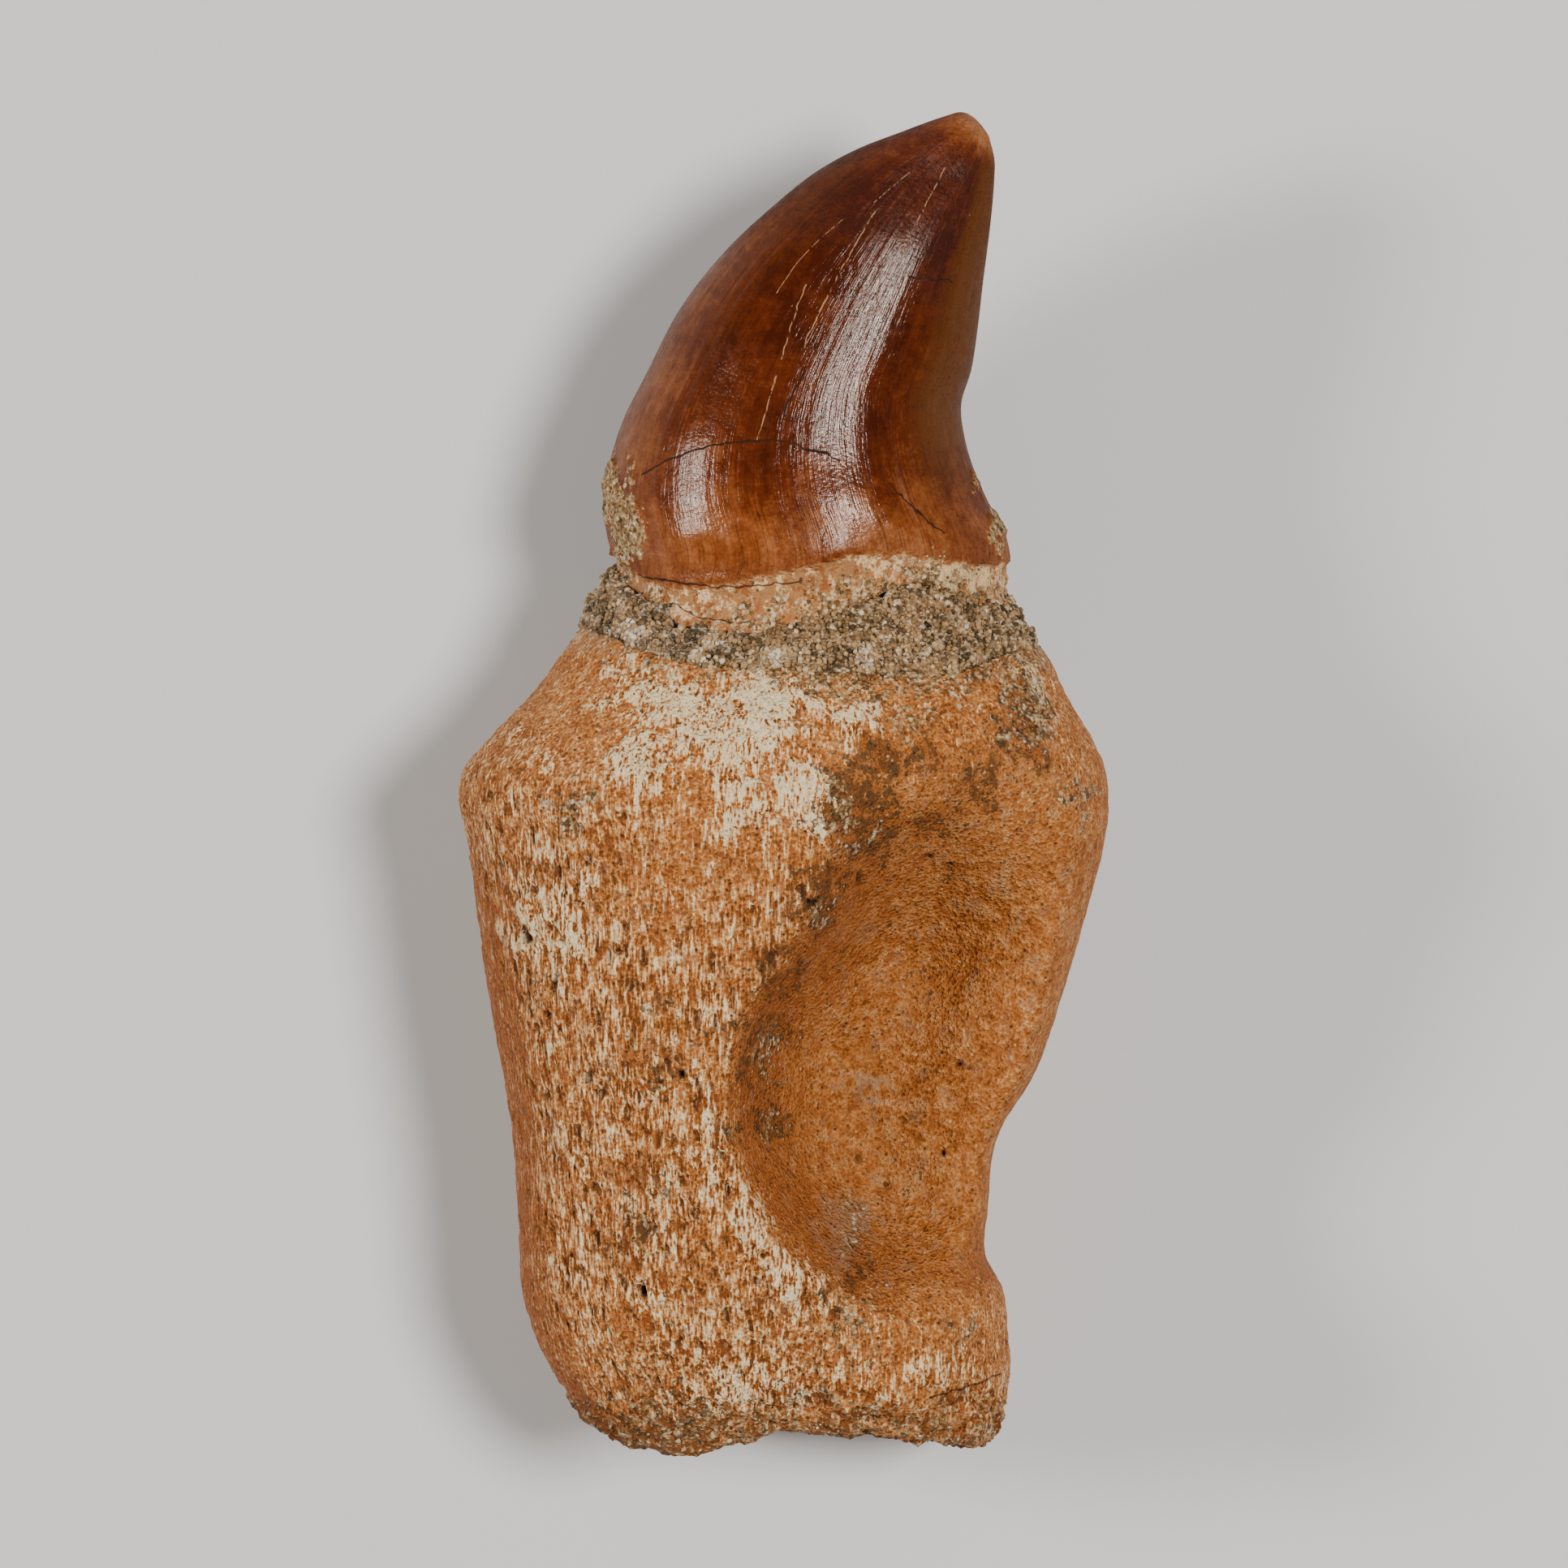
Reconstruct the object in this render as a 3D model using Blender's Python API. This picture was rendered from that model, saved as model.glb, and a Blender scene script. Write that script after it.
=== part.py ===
"""A fossil tooth of a small marine reptile, lying on its back: a curved enamel crown on a flaring bone
root that a replacement tooth has hollowed out on one side, with a ring of sandy matrix round the neck.

The tooth lies along Y with its tip towards +Y, and +Z is up. All lengths here are in millimetres and
become metres when a point is placed. The origin is under the middle of the tooth, on the surface that
it rests on.
"""

import bmesh
import bpy
import numpy as np
from mathutils import Vector, noise

MM = 0.001

REST_Z = 0.0  # the surface that the tooth lies on

# Each row is one chord across the tooth, from the broken base to the tip:
# (left x, left y), (right x, right y). The chords turn with the crown's curve.
CHORDS = (
    ((-6.7, -24.3), (7.9, -24.3)),
    ((-7.7, -23.3), (8.3, -23.3)),
    ((-8.5, -22.25), (8.5, -22.3)),
    ((-9.55, -20.1), (8.42, -20.1)),
    ((-9.87, -18.5), (8.12, -18.65)),
    ((-9.89, -17.9), (7.74, -18.05)),
    ((-10.0, -15.5), (7.72, -15.7)),
    ((-10.15, -13.4), (8.0, -13.4)),
    ((-10.55, -10.7), (9.5, -10.75)),
    ((-11.1, -7.7), (10.55, -7.7)),
    ((-11.52, -4.7), (11.42, -4.7)),
    ((-11.85, -2.2), (12.05, -2.2)),
    ((-12.19, -0.45), (12.21, -0.85)),
    ((-12.05, 0.45), (12.12, 0.35)),
    ((-11.0, 1.75), (11.55, 1.75)),
    ((-9.5, 3.3), (10.7, 3.2)),
    ((-8.3, 4.9), (9.85, 4.9)),
    ((-7.35, 6.2), (8.85, 6.1)),
    ((-6.7, 7.3), (8.45, 7.2)),
    ((-6.4, 8.3), (8.55, 8.2)),
    ((-6.62, 9.4), (8.36, 9.3)),
    ((-6.76, 10.5), (7.78, 10.4)),
    ((-6.58, 11.7), (7.25, 11.55)),
    ((-6.06, 13.5), (6.84, 12.8)),
    ((-5.12, 15.4), (6.66, 14.1)),
    ((-3.85, 17.8), (7.05, 15.55)),
    ((-2.27, 19.8), (7.28, 17.1)),
    ((-0.45, 21.5), (7.46, 18.7)),
    ((1.36, 22.9), (7.65, 20.2)),
    ((2.88, 23.7), (7.78, 21.4)),
    ((4.4, 24.27), (7.86, 22.5)),
    ((5.62, 24.72), (7.85, 23.35)),
    ((6.33, 24.95), (7.66, 24.1)),
)
TIP = (7.0, 24.88, 11.35)

# Height of the underside and of the top at a distance along the tooth, and how boxy the section is
# there (2 is an ellipse). The underside of the root reaches below the resting surface and is cut flat.
DEPTHS = (
    (-24.3, 1.3, 13.4, 2.5),
    (-23.2, 0.6, 14.4, 2.5),
    (-21.5, 0.0, 15.1, 2.45),
    (-18.0, -0.5, 15.9, 2.4),
    (-12.0, -0.75, 16.6, 2.35),
    (-6.0, -0.8, 17.1, 2.3),
    (-1.0, -0.5, 17.5, 2.25),
    (1.5, 0.2, 16.9, 2.2),
    (4.0, 1.2, 15.6, 2.15),
    (6.2, 2.1, 14.17, 2.1),
    (7.6, 2.5, 14.24, 2.05),
    (9.4, 2.4, 14.55, 2.05),
    (12.0, 3.0, 14.45, 2.05),
    (15.0, 4.3, 14.3, 2.0),
    (18.0, 6.0, 14.0, 2.0),
    (20.5, 7.6, 13.7, 2.0),
    (22.6, 9.1, 13.3, 2.0),
    (24.0, 10.2, 12.7, 2.0),
    (24.6, 10.6, 12.2, 2.0),
)
EDGE_SHARE = 0.47  # how far up its thickness the outline seen from above lies

# Crest of the resorption hollow, from its soft start under the neck round to the right-hand rim.
CREST = (
    (4.4, 2.6),
    (2.3, -0.2),
    (1.1, -3.7),
    (-0.2, -6.2),
    (-1.7, -8.5),
    (-2.25, -11.3),
    (-2.1, -13.4),
    (-1.25, -15.6),
    (0.1, -17.5),
    (1.9, -19.1),
    (4.4, -20.2),
    (6.6, -20.1),
    (9.2, -18.9),
)
CREST_ROUND = 0.45  # radius that softens the crest
RIM_ROUND = 1.0  # how softly the hollow runs out into the right-hand side
CREST_ENDS = (0.8, 1.0)  # a column of points follows the crest from this far above its foot up to here
CREST_EASE = 2.0  # and eases away from it over this length
HOLLOW_FLOOR = 10.0  # height of its lowest part
HOLLOW_WALL = 5.2  # how far the steep wall runs in from the crest
HOLLOW_FADE = (2.6, -7.5)  # along the tooth: no hollow above the first, all of it below the second
HOLLOW_RIM_X = 3.6  # right of here the floor rises again towards the rim
HOLLOW_RIM_RISE = 0.055  # rise for each square millimetre past that
HOLLOW_FOOT_Y = -14.5  # below here the floor also rises, towards the foot
HOLLOW_FOOT_RISE = 0.1

# Lobes of the broken base: middle across the tooth, half width, how far it hangs down
BASE_LOBES = ((-4.2, 1.7, 0.35), (0.2, 1.5, -0.2), (4.0, 1.8, 0.2), (6.9, 1.3, 0.45))
BASE_DISH = 1.3  # depth of the broken face's hollow middle
BASE_ROUGH = 0.5  # its unevenness, as a share of the root's
BASE_REACH = 2.2  # how far up the root's sides the uneven rim is felt

# Crown relief: (place across from -1 to 1 at the crown's base, the same near its tip, half width,
# height). A shallow trough runs up the middle, and a groove sets off a thin flange on the right.
CROWN_FROM = 8.6
CROWN_RELIEF = (
    (-0.15, -0.15, 0.22, -0.1),
    (0.62, 0.66, 0.13, -0.2),
)
# Soft swellings and dents of the crown: x, y, half width, half length, height
CROWN_SWELLS = (
    (5.7, 10.9, 1.5, 1.5, -0.3),
    (-4.55, 9.0, 2.3, 1.2, 0.23),
    (-4.2, 12.75, 1.5, 1.2, 0.09),
    (-1.6, 16.2, 1.3, 1.2, 0.05),
    (2.45, 9.25, 2.2, 0.9, -0.11),
    (5.5, 22.4, 2.0, 1.4, -0.15),
)
ROOT_LIP = ((-8.0, 5.3), (-2.4, 4.2), 0.55, 0.35)  # from, to, half width, height
SHOULDER_RIDGE = (-0.4, 0.9, 0.3)  # along the tooth, half width, height

# Larger pits in the bone: place, half length along the tooth, depth
PITS = (
    ((-9.4, -5.9), 1.0, 0.35),
    ((-8.6, -7.6), 0.8, 0.25),
    ((1.15, -4.4), 0.6, 0.4),
    ((-3.8, -10.7), 0.7, 0.3),
)

# Unevenness of the surface: size of the lumps, height on the root
LUMPS = ((6.5, 0.5), (2.4, 0.2))

TOP_STEPS = 32
UNDER_STEPS = 18
ROW_GAP = 0.8
NECK_ROW_GAP = 0.45
NECK = (3.4, 8.8)  # stretch along the tooth that has the closer rows

# The sandy ring round the neck: its lower and upper edge at places right round the neck, as turns
# from the right-hand side over the top (0.5 is the left-hand side, 0.75 is underneath).
COLLAR_EDGES = (
    (0.0, 5.5, 6.8),
    (0.09, 5.1, 6.6),
    (0.17, 4.2, 7.2),
    (0.235, 4.35, 6.1),
    (0.29, 4.5, 5.45),
    (0.34, 4.9, 5.85),
    (0.41, 5.7, 7.0),
    (0.5, 6.1, 7.9),
    (0.62, 5.1, 7.6),
    (0.75, 4.9, 7.2),
    (0.88, 5.1, 7.3),
)
GROOVE_DEPTH = 1.35  # groove of the neck under the sandy ring
GROOVE_EDGE = 0.5  # half width of its sloping sides
COLLAR_GAP = 0.3
COLLAR_STEPS = 56
COLLAR_LUMP = 0.3


def smooth_through(knots, values, at):
    """Reads, at the places asked for, a smooth curve through the values given at the knots."""
    knots = np.asarray(knots, float)
    values = np.asarray(values, float)
    at = np.atleast_1d(np.asarray(at, float))
    if values.ndim == 1:
        values = values[:, None]
    slopes = np.gradient(values, knots, axis=0)
    i = np.clip(np.searchsorted(knots, at, side="right") - 1, 0, len(knots) - 2)
    width = (knots[i + 1] - knots[i])[:, None]
    x = ((at - knots[i]) / width[:, 0])[:, None]
    return (
        values[i] * (1 + 2 * x) * (1 - x) ** 2
        + values[i + 1] * x**2 * (3 - 2 * x)
        + width * (slopes[i] * x * (1 - x) ** 2 - slopes[i + 1] * x**2 * (1 - x))
    )


def soft_step(low, high, x):
    """0 below low, 1 above high and a smooth rise between them."""
    t = np.clip((x - low) / (high - low), 0, 1)
    return t * t * (3 - 2 * t)


def hump(x):
    """A smooth hump of height 1 at 0, gone past 2.5 on either side."""
    return np.exp(-x * x)


def outline():
    """Left edge, right edge and place along the tooth of the chords, as arrays."""
    left = np.array([row[0] for row in CHORDS])
    right = np.array([row[1] for row in CHORDS])
    middle = (left + right) / 2
    steps = np.linalg.norm(np.diff(middle, axis=0), axis=1)
    return left, right, np.concatenate([[0], np.cumsum(steps)])


LEFT, RIGHT, ALONG = outline()
MIDDLE_Y = (LEFT + RIGHT)[:, 1] / 2
CREST_LINE = smooth_through(range(len(CREST)), CREST, np.linspace(0, len(CREST) - 1, 80))
LOW = int(np.argmin(CREST_LINE[:, 1]))


def crest_across(y):
    """Where the hollow's left-hand crest lies at a distance along the tooth."""
    side = CREST_LINE[LOW::-1]
    return np.interp(y, side[:, 1], side[:, 0])


def hollow_distance(x, y):
    """Distance inwards from the hollow's crest, and 0 on the outer side of it."""
    start, end = CREST_LINE[:-1], CREST_LINE[1:]
    run = end - start
    point = np.stack([x, y], axis=-1)[..., None, :]
    share = ((point - start) * run).sum(-1) / (run * run).sum(-1)
    nearest = start + np.clip(share, 0, 1)[..., None] * run
    distance = np.linalg.norm(point - nearest, axis=-1).min(-1)
    foot = CREST_LINE[LOW:]
    inside = (x > crest_across(y)) & (y > np.interp(x, foot[:, 0], foot[:, 1]))
    return np.where(inside, distance, 0.0)


def carve_hollow(x, y, z):
    """The top of the tooth with the resorption hollow taken out of it."""
    floor = HOLLOW_FLOOR + HOLLOW_RIM_RISE * np.maximum(x - HOLLOW_RIM_X, 0) ** 2
    floor = floor + HOLLOW_FOOT_RISE * np.maximum(HOLLOW_FOOT_Y - y, 0) ** 2
    inwards = np.hypot(hollow_distance(x, y), CREST_ROUND) - CREST_ROUND
    wall = np.clip(1 - inwards / HOLLOW_WALL, 0, 1) ** 2.3
    full = soft_step(HOLLOW_FADE[0], HOLLOW_FADE[1], y)
    above = z - floor
    return z - full * (1 - wall) * (above + np.hypot(above, RIM_ROUND)) / 2


def relief(x, y, across, crown):
    """Height of the ridges, grooves, ledges and pits on the upper side of the tooth."""
    along = np.clip((y - CROWN_FROM) / (TIP[1] - CROWN_FROM), 0, 1)
    height = np.zeros_like(x)
    for base, tip, half, rise in CROWN_RELIEF:
        fade = crown * (1 - 0.75 * along**2)
        height += fade * rise * hump((across - base - (tip - base) * along) / half)
    for at_x, at_y, half_width, half_length, rise in CROWN_SWELLS:
        height += rise * hump(np.hypot((x - at_x) / half_width, (y - at_y) / half_length))
    start, end, half, rise = ROOT_LIP
    share = np.clip((x - start[0]) / (end[0] - start[0]), 0, 1)
    inside = soft_step(-1.5, 0.5, x - start[0]) * soft_step(1.5, -0.5, x - end[0])
    height += rise * inside * hump((y - start[1] - share * (end[1] - start[1])) / half)
    ridge_y, half, rise = SHOULDER_RIDGE
    height += rise * soft_step(3.0, -2.0, x) * hump((y - ridge_y) / half)
    for (pit_x, pit_y), half, depth in PITS:
        height -= depth * hump(np.hypot((x - pit_x) / (0.6 * half), (y - pit_y) / half))
    return height


def lumps(points):
    """Uneven height of weathered bone at each point."""
    flat = points.reshape(-1, 3)
    total = np.zeros(len(flat))
    for size, height in LUMPS:
        total += height * np.array([noise.noise(Vector(p) / size) for p in flat])
    return total.reshape(points.shape[:-1])


def half_turn(steps):
    """Angles over half a turn, closer together at its two ends."""
    even = np.linspace(1, -1, steps + 1)
    return np.arccos(0.5 * even + 0.5 * np.cos(np.linspace(0, np.pi, steps + 1)))[:-1]


def follow_crest(angles, middle, half, boxy):
    """The angles of each row, moved so that one column of points runs along the hollow's crest."""
    foot, top = CREST_LINE[LOW, 1] + CREST_ENDS[0], CREST_ENDS[1]
    share = np.clip((crest_across(np.clip(middle[:, 1], foot, top)) - middle[:, 0]) / half, -1, 1)
    crest_angle = np.arccos(np.sign(share) * np.abs(share) ** (boxy / 2))
    column = angles[np.argmin(np.abs(angles - np.pi / 2))]
    close = soft_step(foot - CREST_EASE, foot, middle[:, 1]) * soft_step(top + CREST_EASE, top, middle[:, 1])
    on_crest = column + close * (crest_angle - column)
    return np.array([np.interp(angles, (0, column, np.pi, 7), (0, at, np.pi, 7)) for at in on_crest])


def skin(places, angles):
    """Points of the skin, before the neck's groove: a row for each place, a point for each angle.

    The angles run from the right-hand edge over the top and back underneath.
    """
    left = smooth_through(ALONG, LEFT, places)[:, None, :]
    right = smooth_through(ALONG, RIGHT, places)[:, None, :]
    middle, half = (left + right) / 2, (right - left) / 2
    depths = np.array(DEPTHS)
    under, over, boxy = smooth_through(depths[:, 0], depths[:, 1:], middle[:, 0, 1]).T[..., None]
    edge = under + EDGE_SHARE * (over - under)
    angles = follow_crest(angles, middle[:, 0], half[:, 0, 0], boxy[:, 0])
    across = np.sign(np.cos(angles)) * np.abs(np.cos(angles)) ** (2 / boxy)
    rise = np.abs(np.sin(angles)) ** (2 / boxy)
    x = middle[..., 0] + across * half[..., 0]
    y = middle[..., 1] + across * half[..., 1]
    top = np.sin(angles) >= 0
    z = np.where(top, edge + rise * (over - edge), edge - rise * (edge - under))
    crown = soft_step(CROWN_FROM - 0.5, CROWN_FROM + 1.5, middle[..., 1])
    uneven = lumps(np.stack([x, y, z], axis=-1)) * (1 - 0.93 * crown) * rise
    raised = carve_hollow(x, y, z) + rise * relief(x, y, across, crown) + uneven
    return np.stack([x, y, np.where(top, raised, z - uneven)], axis=-1)


def outwards(points):
    """Directions straight out of a closed skin, from its neighbours along and round it."""
    around = np.roll(points, -1, axis=1) - np.roll(points, 1, axis=1)
    out = np.cross(np.gradient(points, axis=0), around)
    return out / np.linalg.norm(out, axis=-1, keepdims=True)


def collar_edges(angles):
    """Lower and upper edge of the sandy ring at each angle round the neck."""
    turns = [row[0] for row in COLLAR_EDGES] + [1.0]
    edges = [row[1:] for row in COLLAR_EDGES] + [COLLAR_EDGES[0][1:]]
    return smooth_through(turns, edges, angles / (2 * np.pi)).T


def groove(y, lower, upper):
    """Depth of the groove round the neck, under the sandy ring."""
    rise = soft_step(lower - GROOVE_EDGE, lower + GROOVE_EDGE, y)
    return GROOVE_DEPTH * rise * soft_step(upper + GROOVE_EDGE, upper - GROOVE_EDGE, y)


def base_drop(row, share=1.0):
    """How far the broken base lies from its plane, at a share of the way from its middle to its rim."""
    hang = sum(d * hump((row[:, 0] - x) / w) for x, w, d in BASE_LOBES)
    return (BASE_ROUGH * lumps(row + 9.0) - hang) * soft_step(0.2, 0.9, share)


def base_rows(rim):
    """The broken base, as rows that grow from its middle to its rim, with the lobes hanging down."""
    middle = np.array([rim[:, 0].mean(), CHORDS[0][0][1], rim[:, 2].mean()])
    rows = []
    for share in (0.22, 0.48, 0.72, 0.9, 1.0):
        row = middle + share * (rim - middle)
        row[:, 1] += BASE_DISH * (1 - share**2) ** 2 + base_drop(row, share)
        rows.append(row)
    return rows


def tooth_rows():
    """Every ring of the tooth's skin, from the middle of the base to the tip."""
    angles = np.concatenate([half_turn(TOP_STEPS), np.pi + half_turn(UNDER_STEPS)])
    stops = (0.0, *np.interp(NECK, MIDDLE_Y, ALONG), ALONG[-1])
    stretches = [
        np.linspace(start, end, round((end - start) / gap), endpoint=False)
        for start, end, gap in zip(stops, stops[1:], (ROW_GAP, NECK_ROW_GAP, ROW_GAP))
    ]
    places = np.concatenate([*stretches, [ALONG[-1]]])
    full = skin(places, angles)
    lower, upper = collar_edges(angles)
    y = np.interp(places, ALONG, MIDDLE_Y)[:, None]
    full -= outwards(full) * groove(y, lower, upper)[..., None]
    full[..., 2] = np.maximum(full[..., 2], REST_Z)
    rows = base_rows(full[0])
    full[..., 1] += base_drop(full[0]) * np.clip(1 - places / BASE_REACH, 0, 1)[:, None] ** 2
    rows += list(full[1:])
    last = rows[-1]
    middle = last.mean(axis=0)
    for share in (0.68, 0.3):
        rows.append(middle + share * (last - middle) + (1 - share**2) * (np.array(TIP) - middle))
    return rows


def collar_rows():
    """Sections of the sandy ring round the neck, each a closed loop of points in a row."""
    angles = 2 * np.pi * np.arange(COLLAR_STEPS) / COLLAR_STEPS
    places = np.linspace(*np.interp((NECK[0] - 1, NECK[1] + 1), MIDDLE_Y, ALONG), 80)
    full = skin(places, angles)
    out = outwards(full)
    lower, upper = collar_edges(angles)
    y = np.interp(places, ALONG, MIDDLE_Y)
    outer_shares = np.array([0.0, 0.15, 0.5, 0.85, 1.0])
    inner_shares = np.array([0.8, 0.5, 0.2])
    rows = []
    for k, (low, high) in enumerate(zip(lower, upper)):

        def on_skin(shares, values):
            return np.array([np.interp(low + shares * (high - low), y, value) for value in values.T]).T

        outer = on_skin(outer_shares, full[:, k])
        grit = np.array([abs(noise.noise(Vector(p) / 1.1)) for p in outer])
        height = COLLAR_LUMP * grit * (1 - (2 * outer_shares - 1) ** 4)
        outer += height[:, None] * on_skin(outer_shares, out[:, k])
        inner_y = low + inner_shares * (high - low)
        thick = groove(inner_y, low, high) - COLLAR_GAP
        inner = on_skin(inner_shares, full[:, k]) - thick[:, None] * on_skin(inner_shares, out[:, k])
        rows.append(np.concatenate([outer, inner]))
    return rows


def skin_over(bm, rows, closed):
    """Extrudes a ring of edges from row to row; the rows hold the same number of points."""
    slot = bm.verts.layers.int.new("slot")
    ring = bmesh.ops.create_circle(bm, segments=len(rows[0]), radius=MM)["verts"]
    for k, vert in enumerate(ring):
        vert[slot] = k
    first = edges = bm.edges[:]
    for number, row in enumerate(rows):
        if number:
            grown = bmesh.ops.extrude_edge_only(bm, edges=edges)["geom"]
            ring = [item for item in grown if isinstance(item, bmesh.types.BMVert)]
            new = set(ring)
            edges = [
                item
                for item in grown
                if isinstance(item, bmesh.types.BMEdge) and new.issuperset(item.verts)
            ]
        for vert in ring:
            vert.co = Vector(row[vert[slot]] * MM)
    if closed:
        bmesh.ops.bridge_loops(bm, edges=first + edges)
        return
    for loop in (first, edges):
        rim = list({vert for edge in loop for vert in edge.verts})
        fan = bmesh.ops.extrude_edge_only(bm, edges=loop)["geom"]
        middle = [item for item in fan if isinstance(item, bmesh.types.BMVert)]
        centre = sum((vert.co for vert in rim), Vector()) / len(rim)
        bmesh.ops.pointmerge(bm, verts=middle, merge_co=centre)


def material(name, colour, roughness):
    made = bpy.data.materials.new(name)
    made.use_nodes = True
    shader = made.node_tree.nodes["Principled BSDF"]
    shader.inputs["Base Color"].default_value = (*colour, 1)
    shader.inputs["Roughness"].default_value = roughness
    shader.inputs["Metallic"].default_value = 0.0
    return made


def body(name, rows, closed, finish):
    """One named solid, skinned over its rows."""
    bm = bmesh.new()
    skin_over(bm, rows, closed)
    bmesh.ops.recalc_face_normals(bm, faces=bm.faces)
    mesh = bpy.data.meshes.new(name)
    bm.to_mesh(mesh)
    bm.free()
    mesh.shade_smooth()
    mesh.materials.append(finish)
    obj = bpy.data.objects.new(name, mesh)
    bpy.context.scene.collection.objects.link(obj)
    return obj


def main():
    for obj in list(bpy.data.objects):
        bpy.data.objects.remove(obj, do_unlink=True)
    bone = material("fossil_bone_and_enamel", (0.42, 0.18, 0.07), 0.6)
    sand = material("sandy_matrix", (0.27, 0.2, 0.12), 0.9)
    body("tooth", tooth_rows(), False, bone)
    body("matrix_collar", collar_rows(), True, sand)


main()
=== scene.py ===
"""Looks of a fossil marine reptile tooth that lies on its back: its glossy striated crown, the fibrous and
stained bone of its root, the sand that clings round its neck, and a plain studio to see it in.

The tooth lies along Y with its tip towards +Y, and +Z is up. Shapes are worked out in millimetres, with
the same driving values as the solids, and become metres when a point is placed.
"""

import functools

import bmesh
import bpy
import numpy as np
from bpy.props import FloatProperty, FloatVectorProperty, IntProperty, PointerProperty
from mathutils import Euler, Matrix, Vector, noise


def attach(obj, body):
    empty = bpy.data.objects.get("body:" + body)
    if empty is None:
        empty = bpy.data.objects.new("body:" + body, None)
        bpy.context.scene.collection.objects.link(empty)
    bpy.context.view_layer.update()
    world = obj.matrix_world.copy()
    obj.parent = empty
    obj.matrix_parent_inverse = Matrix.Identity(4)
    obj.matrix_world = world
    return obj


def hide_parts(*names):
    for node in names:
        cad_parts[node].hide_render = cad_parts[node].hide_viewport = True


bl_info = {
    "name": "Fossil marine reptile tooth",
    "version": (1, 0, 0),
    "blender": (4, 5, 0),
    "location": "3D View > Sidebar > Fossil tooth",
    "description": "Dresses a lying fossil tooth with enamel, bone and clinging sand",
    "category": "Object",
}

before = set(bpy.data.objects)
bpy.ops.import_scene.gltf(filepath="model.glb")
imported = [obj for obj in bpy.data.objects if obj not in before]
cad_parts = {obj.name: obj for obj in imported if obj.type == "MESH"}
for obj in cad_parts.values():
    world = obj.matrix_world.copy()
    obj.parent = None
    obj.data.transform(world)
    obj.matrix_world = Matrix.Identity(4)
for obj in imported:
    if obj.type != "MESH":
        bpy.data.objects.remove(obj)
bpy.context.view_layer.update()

MM = 0.001
SEAM = 1e-9  # points closer than this, in metres, are one
TINY = 1e-9  # keeps a length from being 0
BODY = "root"
FLOOR_GAP = 0.02  # keeps the floor clear of the tooth

# Chords across the tooth, from the broken base to the tip: left x, left y, right x, right y.
# They turn with the crown's curve.
CHORDS = (
    (-6.7, -24.3, 7.9, -24.3), (-7.7, -23.3, 8.3, -23.3), (-8.5, -22.25, 8.5, -22.3),
    (-9.55, -20.1, 8.42, -20.1), (-9.87, -18.5, 8.12, -18.65), (-9.89, -17.9, 7.74, -18.05),
    (-10.0, -15.5, 7.72, -15.7), (-10.15, -13.4, 8.0, -13.4), (-10.55, -10.7, 9.5, -10.75),
    (-11.1, -7.7, 10.55, -7.7), (-11.52, -4.7, 11.42, -4.7), (-11.85, -2.2, 12.05, -2.2),
    (-12.19, -0.45, 12.21, -0.85), (-12.05, 0.45, 12.12, 0.35), (-11.0, 1.75, 11.55, 1.75),
    (-9.5, 3.3, 10.7, 3.2), (-8.3, 4.9, 9.85, 4.9), (-7.35, 6.2, 8.85, 6.1), (-6.7, 7.3, 8.45, 7.2),
    (-6.4, 8.3, 8.55, 8.2), (-6.62, 9.4, 8.36, 9.3), (-6.76, 10.5, 7.78, 10.4),
    (-6.58, 11.7, 7.25, 11.55), (-6.06, 13.5, 6.84, 12.8), (-5.12, 15.4, 6.66, 14.1),
    (-3.85, 17.8, 7.05, 15.55), (-2.27, 19.8, 7.28, 17.1), (-0.45, 21.5, 7.46, 18.7),
    (1.36, 22.9, 7.65, 20.2), (2.88, 23.7, 7.78, 21.4), (4.4, 24.27, 7.86, 22.5),
    (5.62, 24.72, 7.85, 23.35), (6.33, 24.95, 7.66, 24.1),
)
TIP = (7.0, 24.88, 11.35)
VIEW_X, VIEW_LEVEL = 0.03, 10.0  # middle of the view, and the height at which its width is measured

# Distance along the tooth, height of the underside, height of the top, and how boxy the section is
DEPTHS = (
    (-24.3, 1.3, 13.4, 2.5), (-23.2, 0.6, 14.4, 2.5), (-21.5, 0.0, 15.1, 2.45), (-18.0, -0.5, 15.9, 2.4),
    (-12.0, -0.75, 16.6, 2.35), (-6.0, -0.8, 17.1, 2.3), (-1.0, -0.5, 17.5, 2.25), (1.5, 0.2, 16.9, 2.2),
    (4.0, 1.2, 15.6, 2.15), (6.2, 2.1, 14.17, 2.1), (7.6, 2.5, 14.24, 2.05), (9.4, 2.4, 14.55, 2.05),
    (12.0, 3.0, 14.45, 2.05), (15.0, 4.3, 14.3, 2.0), (18.0, 6.0, 14.0, 2.0), (20.5, 7.6, 13.7, 2.0),
    (22.6, 9.1, 13.3, 2.0), (24.0, 10.2, 12.7, 2.0), (24.6, 10.6, 12.2, 2.0),
)
EDGE_SHARE = 0.47  # height of the widest part, as a share of the depth

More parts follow.
